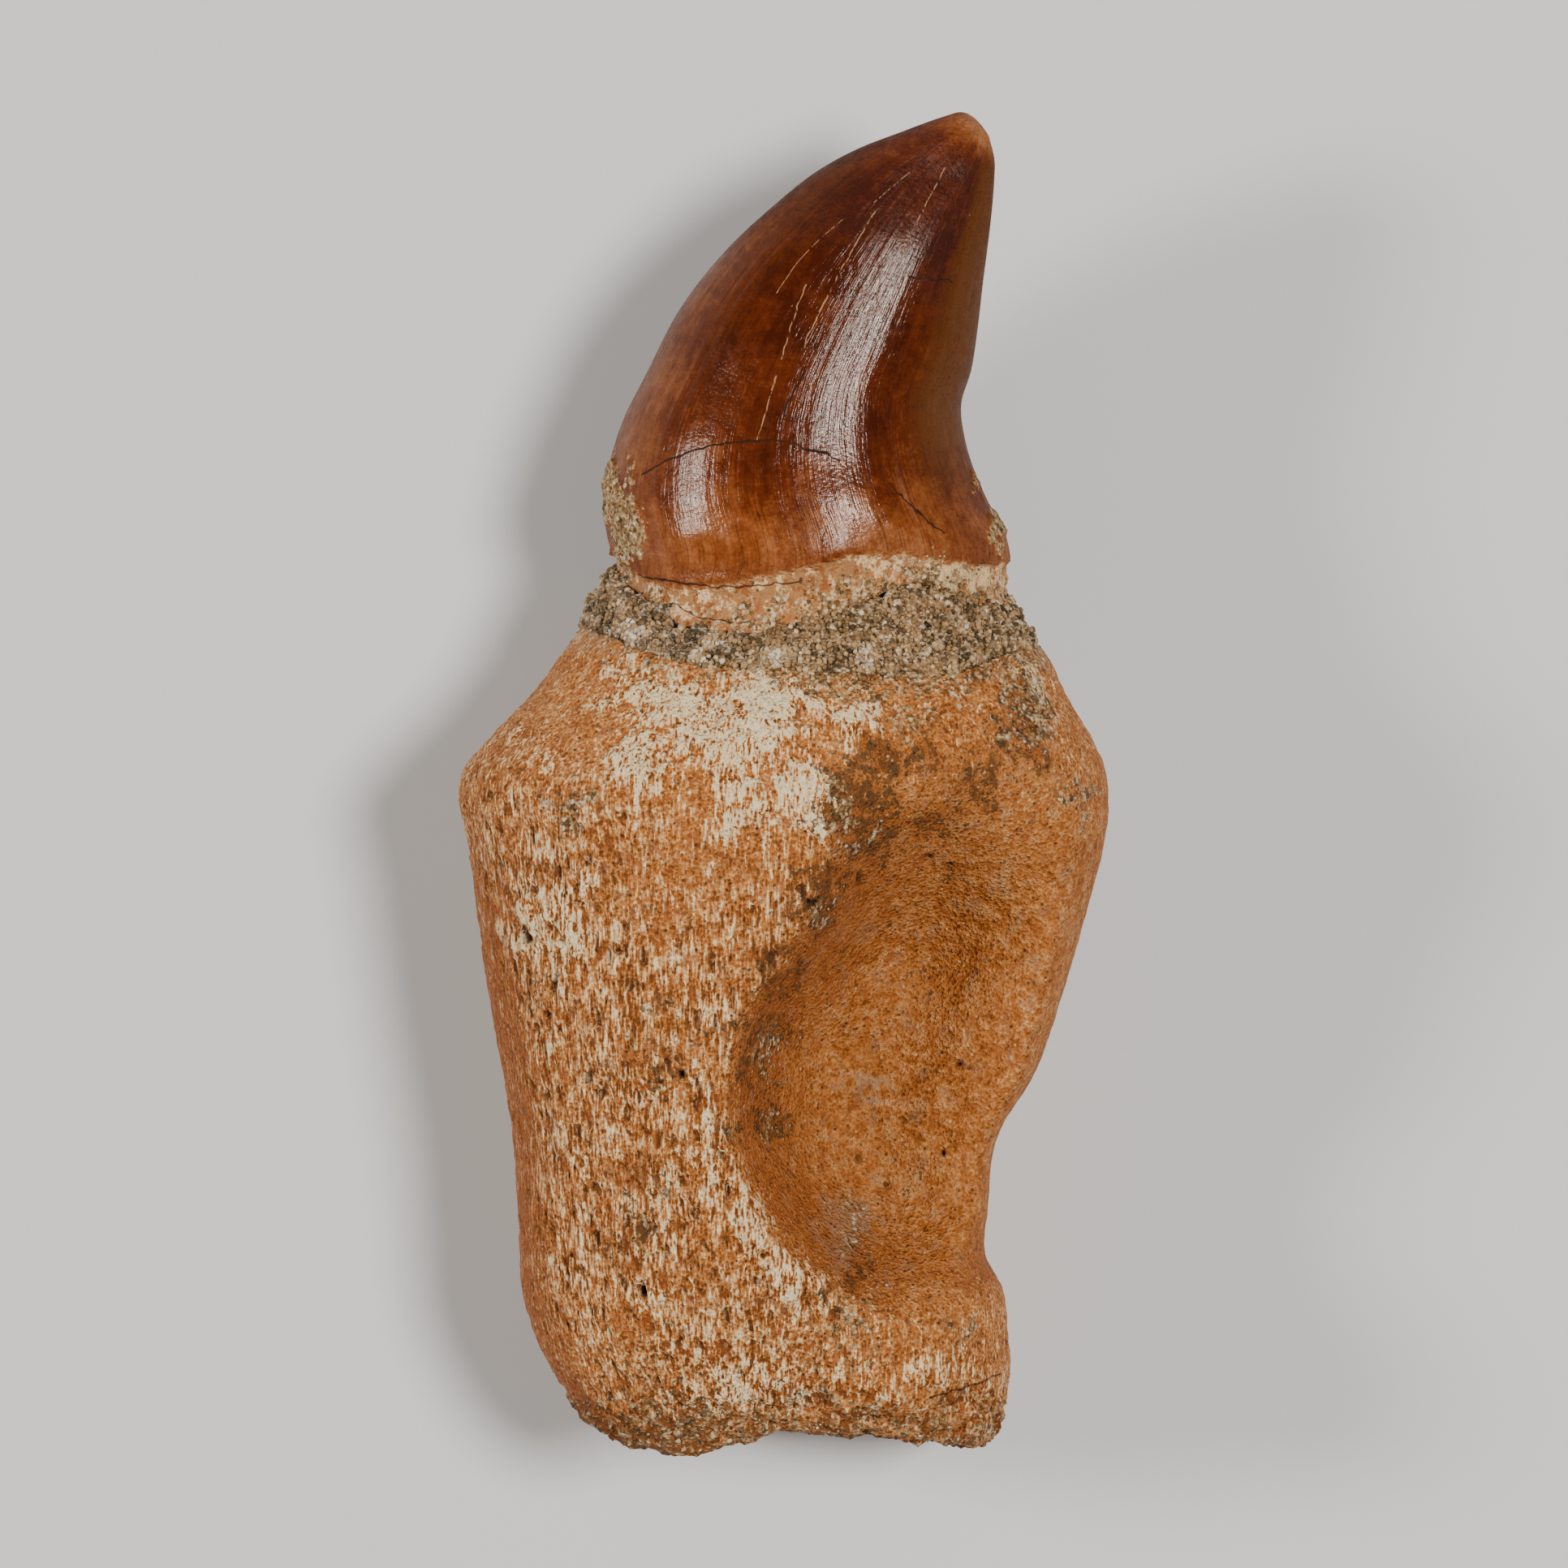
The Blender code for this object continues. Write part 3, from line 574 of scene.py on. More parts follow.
def carve_hollow(x, y, z):
    """The top of the tooth with the resorption hollow taken out of it."""
    floor = HOLLOW_FLOOR + HOLLOW_RIM_RISE * np.maximum(x - HOLLOW_RIM_X, 0) ** 2
    floor = floor + HOLLOW_FOOT_RISE * np.maximum(HOLLOW_FOOT_Y - y, 0) ** 2
    rounded = np.hypot(hollow_distance(x, y), CREST_ROUND) - CREST_ROUND
    wall = np.clip(1 - rounded / HOLLOW_WALL, 0, 1) ** WALL_CURVE
    full = fade(*HOLLOW_FADE, y)
    above = z - floor
    return z - full * (1 - wall) * (above + np.hypot(above, RIM_ROUND)) / 2


def relief(x, y, across, crown):
    """Height of the ridges, grooves and ledges on the upper side of the tooth."""
    along = np.clip((y - CROWN_FROM) / (TIP[1] - CROWN_FROM), 0, 1)
    height = np.zeros_like(x)
    for base, tip, half, rise in CROWN_RELIEF:
        strength = crown * (1 - 0.75 * along**2)
        height += strength * rise * hump((across - base - (tip - base) * along) / half)
    for *spot, rise in CROWN_SWELLS:
        height += rise * hump(off_spot(x, y, *spot))
    start, end, half, rise = ROOT_LIP
    along = np.clip((x - start[0]) / (end[0] - start[0]), 0, 1)
    inside = fade(-1.5, 0.5, x - start[0]) * fade(1.5, -0.5, x - end[0])
    height += rise * inside * hump((y - start[1] - along * (end[1] - start[1])) / half)
    ridge_y, half, rise = SHOULDER_RIDGE
    return height + rise * fade(*RIDGE_X, x) * hump((y - ridge_y) / half)


def uneven(points, size, shift=0.0, octaves=1):
    """Smooth noise around 0 whose lumps have the size given, or three sizes for a stretched one."""
    scaled = (points / size + shift).reshape(-1, 3).tolist()
    if octaves == 1:
        values = [noise.noise(Vector(p)) for p in scaled]
    else:
        values = [noise.fractal(Vector(p), ROUGHER, FINER, octaves) for p in scaled]
    return np.reshape(values, points.shape[:-1])


def lumps(points):
    """Uneven height of weathered bone at each point."""
    return sum(height * uneven(points, size) for size, height in LUMPS)


def half_turn(steps):
    """Angles over half a turn, closer together at its two ends."""
    even = np.linspace(1, -1, steps + 1)
    return np.arccos(0.5 * even + 0.5 * np.cos(np.linspace(0, np.pi, steps + 1)))[:-1]


def skin(places, angles):
    """Points of the skin before the neck's groove, and how far across each lies, from 1 to -1.

    There is a row for each place along the tooth and a point for each angle, which run from the
    right-hand edge over the top and back underneath.
    """
    left = smooth_through(ALONG, LEFT, places)[:, None, :]
    right = smooth_through(ALONG, RIGHT, places)[:, None, :]
    middle, half = (left + right) / 2, (right - left) / 2
    depths = np.array(DEPTHS)
    under, over, boxy = smooth_through(depths[:, 0], depths[:, 1:], middle[:, 0, 1]).T[..., None]
    edge = under + EDGE_SHARE * (over - under)
    across = np.sign(np.cos(angles)) * np.abs(np.cos(angles)) ** (2 / boxy)
    rise = np.abs(np.sin(angles)) ** (2 / boxy)
    x = middle[..., 0] + across * half[..., 0]
    y = middle[..., 1] + across * half[..., 1]
    top = np.sin(angles) >= 0
    z = np.where(top, edge + rise * (over - edge), edge - rise * (edge - under))
    crown = fade(CROWN_FROM - 0.5, CROWN_FROM + 1.5, middle[..., 1])
    bumps = lumps(np.stack([x, y, z], axis=-1)) * (1 - CROWN_SMOOTH * crown) * rise
    raised = carve_hollow(x, y, z) + rise * relief(x, y, across, crown) + bumps
    return np.stack([x, y, np.where(top, raised, z - bumps)], axis=-1), across


def outwards(points):
    """Directions straight out of a closed skin, from its neighbours along and round it."""
    around = np.roll(points, -1, axis=1) - np.roll(points, 1, axis=1)
    out = np.cross(np.gradient(points, axis=0), around)
    return out / np.maximum(np.linalg.norm(out, axis=-1, keepdims=True), TINY)


def round_the_neck(table, angles):
    """Reads a table of turns round the neck at each angle."""
    turns = [row[0] for row in table] + [1.0]
    values = [row[1:] for row in table] + [table[0][1:]]
    return np.moveaxis(smooth_through(turns, values, angles / (2 * np.pi)), -1, 0)


def groove(y, lower, upper):
    """Depth of the groove round the neck, under the sandy ring."""
    rise = fade(lower - GROOVE_EDGE, lower + GROOVE_EDGE, y)
    return GROOVE_DEPTH * rise * fade(upper + GROOVE_EDGE, upper - GROOVE_EDGE, y)


def flow_over(points, along):
    """Place round the tooth and along it, laid on a round bar so that a pattern has no seam."""
    step = np.linalg.norm(np.roll(points, -1, axis=1) - points, axis=-1).mean(axis=0)
    turn = 2 * np.pi * (np.cumsum(step) - step) / step.sum()
    turn, along = np.broadcast_arrays(turn, along)
    return np.stack([FLOW_RADIUS * np.cos(turn), FLOW_RADIUS * np.sin(turn), along], axis=-1)


def off_spot(x, y, at_x, at_y, half_width, half_length, lean=0):
    """Distance from the middle of an oval spot, which is 1 at its edge. It leans right by degrees."""
    cos, sin = np.cos(np.radians(lean)), np.sin(np.radians(lean))
    dx, dy = x - at_x, y - at_y
    return np.hypot((dx * cos - dy * sin) / half_width, (dx * sin + dy * cos) / half_length)


def patches(x, y, spots):
    """A patch for each of the spots, at its strength in the middle and 0 a quarter past its edge."""
    value = np.zeros_like(x)
    for *spot, strength in spots:
        value = np.maximum(value, strength * np.clip(PATCH_END - off_spot(x, y, *spot), 0, 1))
    return value


def cover_of(points, flow, across, angles, out, shape):
    """How far each finish covers each point, and the fine relief in millimetres."""
    x, y, _ = np.moveaxis(points, -1, 0)
    seen = fade(*SEEN, out[..., 2])
    bent_x = x + 0.9 * uneven(points, 1.2, 41.0, 3)
    bent_y = y + 1.1 * uneven(points, 1.4, 47.0, 3)
    ragged = uneven(points, (0.4, 1.3, 0.4), 4.0, 2)
    blotches = uneven(points, 3.2, 11.0, 2)

    def drawn(table):
        return patches(bent_x, bent_y, table) * seen

    enamel_y = round_the_neck(ENAMEL_EDGE, angles)[0]
    above = y - enamel_y - 0.08 * uneven(points, 0.5, 8.0)
    crust = patches(x, bent_y, CROWN_CRUST) * seen + 0.35 * ragged
    enamel = fade(-0.06, 0.06, above) * fade(0.62, 0.48, crust)
    dentine = fade(0.1, -0.1, above) * fade(*BAND_Y, y)

    inward = hollow_distance(x, y) * seen
    hollow = fade(0.0, 1.8, inward + 0.8 * uneven(points, (0.3, 0.8, 0.3), 51.0, 2))
    hollow *= fade(*HOLLOW_Y, y)
    hollow *= seen * (1 - 0.5 * fade(*SCOURED_Y, y))
    cream = drawn(CREAM_PATCHES)
    cream += (1 - seen) * (0.35 + 0.5 * blotches)
    cream += 0.3 * ragged
    stain = drawn(STAINS) + (1 - seen) * (0.25 + 0.5 * uneven(points, 4.0, 31.0, 2))
    foot = fade(*FOOT_Y, y + 1.4 * uneven(points, 1.1, 47.0, 2)) * seen
    dark_foot = foot * (0.2 + 0.35 * fade(*FOOT_LEFT, x))
    stain = np.maximum(np.minimum(stain, 0.9), dark_foot) + 0.2 * blotches
    grit = drawn(GRIT) + 0.2 * uneven(points, 0.9, 17.0)
    grit = np.maximum(grit, 0.6 * foot)
    lower, upper = round_the_neck(COLLAR_EDGES, angles)
    from_ring = np.maximum(np.maximum(lower - y, y - upper), 0.0)
    near_ring = fade(*NEAR_RING, from_ring + uneven(points, 0.8, 23.0, 2))
    grit = np.maximum(grit, near_ring * (0.6 + 0.4 * fade(-4.0, 0.0, x)))

    left_side = fade(*LEFT_OF_CREST, x - crest_across(y))
    below_hollow = fade(*BELOW_CREST, y - np.interp(x, CREST_LINE[LOW:, 0], CREST_LINE[LOW:, 1]))
    fibre = np.maximum(left_side, below_hollow) * fade(1.0, -5.0, y + 0.25 * x)
    fibre = np.maximum(fibre, 0.7 * fade(0.35, 0.6, cream))
    fibre = np.maximum(fibre * seen, 0.8 * (1 - seen))
    fibre = np.maximum(fibre, 0.5 * patches(x, y, FIBROUS_EDGE))
    # Painted shade along the left-hand edge and on the hollow's left wall, with fewer fibres where the
    # edge is worn
    worn = fade(*SHADED_WORN_SIDE, across) * fade(*SHADED_WORN_Y, y) * seen
    wall = fade(0.0, 0.9, inward) * fade(3.8, 1.0, inward) * fade(0.0, -4.0, y)
    worn = np.maximum(worn, 0.75 * wall * fade(*CORNER_Y[::-1], y))
    corner = fade(*CORNER_X, x) * fade(*CORNER_Y, y)
    fibre *= fade(*FIBRE_END, y) * (1 - 0.6 * corner)
    fibre *= (1 - 0.4 * worn) * (1 - 0.6 * patches(bent_x, bent_y, GRAINY))
    fibre *= 1 - hollow

    fibres = uneven(points, (0.27, 1.0, 0.27), 7.0, 2)
    grains = uneven(points, 0.42, 3.0, 2)
    pits = fade(0.3, 0.55, uneven(points, (0.28, 0.7, 0.28), 21.0))
    holes = np.zeros_like(x)
    for spot in HOLES:
        holes = np.maximum(holes, fade(1.25, 0.6, off_spot(x, y, *spot)) * seen)

    bone = fade(0.2, -0.4, above)
    flakes = fade(0.45, 0.6, cream) * (1 - hollow)
    height = bone * fibre * (shape.fibre_height * fibres - shape.pit_depth * pits) / MM
    height += bone * (1 - 0.55 * hollow) * shape.grain_height * grains / MM
    height += bone * shape.flake_height * flakes / MM
    # Painted shade and light: the fine relief's height, which darkens the colour where it is sunk and
    # lightens it where it is raised
    cavity = np.clip(height / CAVITY, -1, 1)
    layers = uneven(points, (1.3, 0.35, 0.5), 61.0, 2)
    height += shape.edge_relief * foot * layers / MM
    height -= shape.hole_depth * holes / MM
    height += (1 - bone) * enamel * shape.stria_height * uneven(flow, (0.45, 0.45, 9.0), 2.0) / MM
    height += (1 - bone) * fade(0.4, 0.6, crust) * (0.08 + 0.12 * grains)
    sunk = fade(0.05, -0.1, above) * fade(-2.4, -0.5, above)
    height -= shape.enamel_step * sunk / MM

    along = np.clip((y - CROWN_FROM) / (TIP[1] - CROWN_FROM), 0, 1)
    edge = fade(0.45, 0.95, -across)
    pale = np.maximum(0.62 * fade(0.28, 0.0, along), fade(0.9, 1.0, along + 0.06 * across))
    pale = np.maximum(pale, 0.5 * edge * fade(1.0, 0.6, along))
    pale -= 0.18 * fade(0.35, 0.6, along) * fade(0.95, 0.85, along)
    pale = pale * seen + (1 - seen) * 0.45
    olive = np.maximum(fade(0.62, 0.8, across), 0.35 * edge)
    olive *= fade(0.05, 0.3, along) * fade(0.97, 0.85, along)
    gloss = 1 - 0.85 * np.maximum(fade(0.55, 0.8, across), 0.75 * edge) * seen
    gloss *= 1 - 0.8 * fade(*DULL_TIP, y)
    gloss *= 1 - patches(x, y, DULL_PATCHES)
    gloss *= 1 - 0.75 * fade(1.3, 0.1, above + 0.5 * uneven(flow, (0.3, 0.3, 1.5), 5.0, 2))
    dirt = np.clip(grit - 0.35, 0, 1)
    below = np.clip(-above, 0, 4)
    cover = dict(enamel=enamel, pale=pale, olive=olive, gloss=gloss, crust=crust, dentine=dentine)
    cover.update(cream=cream, stain=stain, grit=grit, ash=drawn(ASH), dirt=dirt, fibre=fibre)
    cover.update(hollow=hollow, worn=worn, below=below, foot=foot, cavity=cavity, hole=holes)
    return cover, height


def base_drop(row, out=1.0):
    """How far the broken base lies beyond its plane, at a share of the way from its middle to its rim."""
    hang = sum(d * hump((row[:, 0] - x) / w) for x, w, d in BASE_LOBES)
    broken = BASE_ROUGH * lumps(row + 9.0)
    broken = broken + 0.2 * uneven(row, 1.3, 5.0, 2) + 0.12 * uneven(row, 0.45, 2.0, 2)
    return (broken - hang) * fade(0.2, 0.9, out) + 0.4 * broken * (out < 0.99)


def base_rows(rim, rim_flow):
    """The broken base, as rows that grow from its middle to its rim, with the lobes hanging down."""
    middle = np.array([rim[:, 0].mean(), CHORDS[0][1], rim[:, 2].mean()])
    rows, flows = [], []
    for out in np.linspace(0.04, 1.0, BASE_ROWS):
        row = middle + out * (rim - middle)
        row[:, 1] += BASE_DISH * (1 - out**2) ** 2 + base_drop(row, out)
        rows.append(row)
        flows.append(rim_flow * (out, out, 1.0) - (0.0, 0.0, BASE_FLOW * (1 - out)))
    return rows, flows


def tooth_rows(shape):
    """Every ring of the tooth's skin from the middle of the base to the tip, with its flow and covers."""
    angles = np.concatenate([half_turn(shape.top_columns), np.pi + half_turn(shape.under_columns)])
    count = round(ALONG[-1] * MM / shape.row_gap)
    places = np.linspace(0.0, ALONG[-1], count)
    full, across = skin(places, angles)
    out = outwards(full)
    flow = flow_over(full, places[:, None])
    cover, height = cover_of(full, flow, across, np.broadcast_to(angles, across.shape), out, shape)
    lower, upper = round_the_neck(COLLAR_EDGES, angles)
    y = np.interp(places, ALONG, MIDDLE_Y)[:, None]
    depth = groove(y, lower, upper)
    keep = fade(-0.3, 0.5, places)[:, None]
    full += out * (height * keep - depth)[..., None]
    full[..., 2] = np.maximum(full[..., 2], 0.0)

    base, base_flow = base_rows(full[0], flow[0])
    full[..., 1] += base_drop(full[0]) * np.clip(1 - places / BASE_REACH, 0, 1)[:, None] ** 2
    rows = base + list(full[1:])
    flows = base_flow + list(flow[1:])
    last = rows[-1]
    middle = last.mean(axis=0)
    for inward in TIP_ROWS:
        rows.append(middle + inward * (last - middle) + (1 - inward**2) * (np.array(TIP) - middle))
        flows.append(flow[-1] * (inward, inward, 1.0) + (0.0, 0.0, 1 - inward))
    for name, value in cover.items():
        ends = [value[:1]] * len(base) + [value[1:]] + [value[-1:]] * len(TIP_ROWS)
        cover[name] = np.concatenate(ends)
    inner = fade(1.0, 0.85, np.linspace(0.0, 1.0, len(base)))[:, None]
    for name, level, spread, size in BROKEN_FACE:
        rim = cover[name][: len(base)]
        rim += inner * (level + spread * uneven(np.array(base), size, 3.0, 2) - rim)
    return np.array(rows), np.array(flows), cover


def mesh_of(bm, name):
    """A mesh of all that the bmesh holds."""
    mesh = bpy.data.meshes.new(name)
    bm.to_mesh(mesh)
    bm.free()
    return mesh


def placed(name, data):
    """A new object of the data, in the scene."""
    piece = bpy.data.objects.new(name, data)
    bpy.context.scene.collection.objects.link(piece)
    return piece


def finished(name, mesh, finish):
    """A smooth object of the mesh, which moves with the tooth."""
    mesh.shade_smooth()
    mesh.materials.append(finish)
    piece = placed(name, mesh)
    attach(piece, BODY)
    return piece


def read(items, name, width=1, kind=np.float32):
    """One property of all the items, as an array with a row for each of them."""
    values = np.zeros(len(items) * width, kind)
    items.foreach_get(name, values)
    return values if width == 1 else values.reshape(-1, width)


def move(mesh, points):
    """Puts the mesh's points at places given in millimetres."""
    mesh.vertices.foreach_set("co", (points * MM).astype(np.float32).ravel())


def store(mesh, name, values):
    """Keeps a value or a vector for every point of the mesh."""
    kind, key = ("FLOAT", "value") if values.ndim == 1 else ("FLOAT_VECTOR", "vector")
    layer = mesh.attributes.new(name, kind, "POINT")
    layer.data.foreach_set(key, values.astype(np.float32).ravel())


def skinned(name, rows, closed, finish, values):
    """A piece whose skin is a grid of points wrapped round, with its ends closed or joined to each other.

    The rows are rings of points. Closed says that the last row is followed by the first.
    """
    if not closed:
        ends = [np.broadcast_to(rows[k].mean(axis=0), rows[k].shape)[None] for k in (0, -1)]
        rows = np.concatenate([ends[0], rows, ends[1]])
    count, columns = len(rows) + closed, rows.shape[1] + 1
    bm = bmesh.new()
    bmesh.ops.create_grid(bm, x_segments=columns - 1, y_segments=count - 1, size=1.0)
    mesh = mesh_of(bm, name)
    spread = (read(mesh.vertices, "co", 3)[:, :2] + 1) / 2 * (columns - 1, count - 1)
    column, row = np.rint(spread).astype(int).T
    column %= columns - 1
    row %= len(rows)
    move(mesh, rows[row, column])
    if not closed:
        row = np.clip(row - 1, 0, len(rows) - 3)
    for label, value in values.items():
        store(mesh, label, value[row, column])
    bm = bmesh.new()
    bm.from_mesh(mesh)
    bmesh.ops.remove_doubles(bm, verts=bm.verts, dist=SEAM)
    bmesh.ops.recalc_face_normals(bm, faces=bm.faces)
    bm.to_mesh(mesh)
    bm.free()
    return finished(name, mesh, finish)


def scatter(piece, weight, count, chance):
    """Places and outward directions picked over a piece, denser where the named attribute is greater."""
    mesh = piece.data
    starts = read(mesh.polygons, "loop_start", kind=np.int32)
    corners = read(mesh.loops, "vertex_index", kind=np.int32)[starts]
    values = read(mesh.attributes[weight].data, "value")[corners]
    odds = read(mesh.polygons, "area") * np.clip(values, 0, 1)
    picked = chance.choice(len(odds), count, p=odds / odds.sum())
    return read(mesh.polygons, "center", 3)[picked] / MM, read(mesh.polygons, "normal", 3)[picked]


def sand_grains(name, spots, directions, radii, tints, finish, chance):
    """Small angular grains, joined in one piece and set partly into the surface."""
    bm = bmesh.new()
    corner = bm.verts.layers.int.new("corner")
    number = bm.verts.layers.int.new("number")
    bmesh.ops.create_icosphere(bm, subdivisions=1, radius=1.0)
    for k, vert in enumerate(bm.verts):
        vert[corner] = k
    corners = np.array([vert.co for vert in bm.verts])
    made = 1
    while made < len(spots):
        copied = [vert for vert in bm.verts if vert[number] < len(spots) - made]
        faces = {face for vert in copied for face in vert.link_faces}
        pairs = bmesh.ops.duplicate(bm, geom=list(faces))["vert_map"]
        for vert in copied:
            pairs[vert][number] = vert[number] + made
        made = min(2 * made, len(spots))
    mesh = mesh_of(bm, name)
    at = []
    for label in ("number", "corner"):
        at.append(read(mesh.attributes[label].data, "value", kind=np.int32))
        mesh.attributes.remove(mesh.attributes[label])
    turns = [Euler(turn).to_matrix() for turn in chance.uniform(0, 2 * np.pi, (len(spots), 3))]
    squeeze = chance.uniform(*GRAIN_SQUEEZE, (len(spots), 1, 3)) * radii[:, None, None]
    shaped = (corners * squeeze) @ np.array(turns)
    shaped = shaped + (spots + GRAIN_LIFT * radii[:, None] * directions)[:, None]
    move(mesh, shaped[at[0], at[1]])
    store(mesh, "tint", tints[at[0]])
    mesh.update()
    mesh.set_sharp_from_angle(angle=np.radians(GRAIN_SHARP))
    return finished(name, mesh, finish)


def ring_surface(angles, steps, settings):
    """Skin of the sandy ring: its outer side, and its inner side in the groove."""
    places = np.linspace(*np.interp(NECK, MIDDLE_Y, ALONG), RING_PLACES)
    full, _ = skin(places, angles)
    out = outwards(full)
    lower, upper = round_the_neck(COLLAR_EDGES, angles)
    turn = NECK_RADIUS * np.stack([np.cos(angles), np.sin(angles), np.zeros_like(angles)], axis=-1)
    lower = lower - GROOVE_EDGE - RING_GAP + RING_WAVE * uneven(turn, 0.8, 3.0, 3)
    upper = upper + GROOVE_EDGE + RING_GAP + RING_WAVE * uneven(turn, 0.7, 8.0, 3)
    y = np.interp(places, ALONG, MIDDLE_Y)
    shares = np.linspace(0.0, 1.0, steps)
    inner_at = np.array([0.85, 0.5, 0.15])
    outer, inner, away = [], [], []
    for k, (low, high) in enumerate(zip(lower, upper)):

        def on_skin(at, values):
            return np.array([np.interp(low + at * (high - low), y, value) for value in values.T]).T

        outer.append(on_skin(shares, full[:, k]))
        away.append(on_skin(shares, out[:, k]))
        inner.append(on_skin(inner_at, full[:, k] - RING_DEPTH * out[:, k]))
    outer, inner, away = np.array(outer), np.array(inner), np.array(away)
    crumbs = np.abs(uneven(outer, 0.6, 1.0, 3))
    crumbs = crumbs + 0.4 * uneven(outer, 0.25, 6.0) + 0.4 * uneven(outer, 1.6, 9.0)
    swell = 1 - (2 * shares - 1) ** 6
    height = (RING_LIFT + settings.ring_relief / MM * crumbs) * swell - RING_SINK * (1 - swell)
    return outer + height[..., None] * away, inner


def tooth_finish(colours, sand):
    """Enamel, dentine and bone, which meet along ragged edges."""
    finish = Finish("fossil_tooth", Specular_IOR_Level=0.18)
    place = finish.place()
    flow = finish.attribute("flow", "Vector")
    enamel, gloss, pale, olive = map(finish.attribute, ("enamel", "gloss", "pale", "olive"))
    dentine, cream, stain, grit, ash = map(finish.attribute, ("dentine", "cream", "stain", "grit", "ash"))
    fibre, hollow, worn, below = map(finish.attribute, ("fibre", "hollow", "worn", "below"))
    foot, cavity, hole, crust = map(finish.attribute, ("foot", "cavity", "hole", "crust"))
    x, y, z = finish.parts(place)

    threads, strands, grains, crumbs, mottles, blotches = (
        finish.noise(place, *row) for row in TOOTH_NOISES.values()
    )
    near, tint, other = finish.cells(place, 0.16)

    # Bone: brown, orange and tan in grains, with buff and cream threads where it is fibrous or flaked
    worn = (worn * (0.85 + strands.swing(3.0) + crumbs.swing(2.4))).held()
    flaked = cream - 0.54 + threads.swing(2.6) + strands.swing(1.9) + grains.swing(0.6)
    flaked = flaked.step(-0.28, 0.42) * (1 - hollow)
    woven = threads.swing(2.0) + strands.swing(1.0) + 0.06
    woven = woven * fibre * (blotches.step(0.36, 0.6) * 0.7 + 0.5)
    level = 0.445 + woven + grains.swing(1.0 - hollow * 0.35)
    level = level + crumbs.swing(0.45 + hollow * 0.1) + blotches.swing(0.25)
    # Painted shade in sunk relief and on the shaded left-hand edge, painted light on raised relief
    level = level + flaked * 0.42 + cavity * 0.06 - worn * 0.15 + hollow * 0.01
    level = level + foot * (crumbs.swing(1.6) - 0.03)
    bone = finish.ramp(level, colours, BONE_RAMP)
    ashen = (ash + crumbs.swing(1.6) + grains.swing(0.8)).step(0.35, 0.75)
    speckle = grains.swing(3.2) + crumbs.swing(3.4) + mottles.swing(0.8)
    soiled = (stain + speckle * (stain * 0.6 + 0.5)).step(0.4, 0.75)
    dots = (tint - stain * 0.12).step(0.1, 0.04) * near.step(0.5, 0.3)
    # Painted glints: cream specks that stand in for sparkles of light on the grains
    painted_glints = (tint + stain * 0.05).step(0.955, 0.985) * near.step(0.45, 0.25) * (1 - fibre * 0.5)
    gritty = (grit + crumbs.swing(1.4) + grains.swing(0.9)).step(0.42, 0.66)
    # Painted shade at the edges of the sand grains
    sandy = other * 0.9 + grains.swing(1.0) - near.step(0.3, 0.75) * 0.3 + 0.05
    sprinkled = (gritty * tint.step(0.2, 0.45) * 0.85, finish.ramp(sandy, sand, SAND_RAMP))
    pits = finish.noise(place, (0.13, 0.3, 0.13), 1.0, 13.0).step(0.34, 0.26)
    bone = finish.coat(
        bone,
        (mottles.step(0.52, 0.68) * (0.6 - flaked * 0.4), colours.bone_rust),
        (blotches.step(0.5, 0.6) * hollow * 0.12, colours.bone_rust),
        (mottles.step(0.46, 0.34) * (0.2 + hollow * 0.15), colours.bone_grey),
        (ashen * 0.55, colours.bone_grey),
        # Painted shade: rusty darkening of the left-hand edge and the hollow's left wall
        (worn * 0.55, colours.bone_rust),
        (soiled * 0.92, finish.mix(other.step(0.3, 0.9), colours.stain, colours.bone_brown)),
        (dots * 0.7, colours.crack_and_pit_shade),
        (painted_glints * 0.45, colours.bone_cream),
        sprinkled,
        # Painted shade in the pits between fibres and at the bottoms of the holes
        ((pits * (0.3 + fibre * 0.55)).most(hole), colours.crack_and_pit_shade),
        # Painted shade at the bottoms of sunk relief
        (cavity.step(-0.25, -0.8) * 0.6, colours.crack_and_pit_shade),
    )

    # Neck: dusty dentine in whitish, tan and orange blotches
    band = finish.coat(
        colours.dentine,
        ((grains * 0.25 + mottles * 0.75).step(0.49, 0.56) * 0.88, colours.bone_cream),
        ((crumbs * 0.8 + grains * 0.2).step(0.48, 0.4) * 0.8, colours.bone_rust),
        ((below + crumbs.swing(2.0)).step(0.5, 1.5) * grains.step(0.62, 0.4) * 0.8, colours.bone_tan),
        (cream.step(0.3, 0.7) * 0.9, colours.bone_cream),
        (dots * 0.8, colours.stain),
        sprinkled,
    )
    bone = finish.mix(dentine, bone, band)

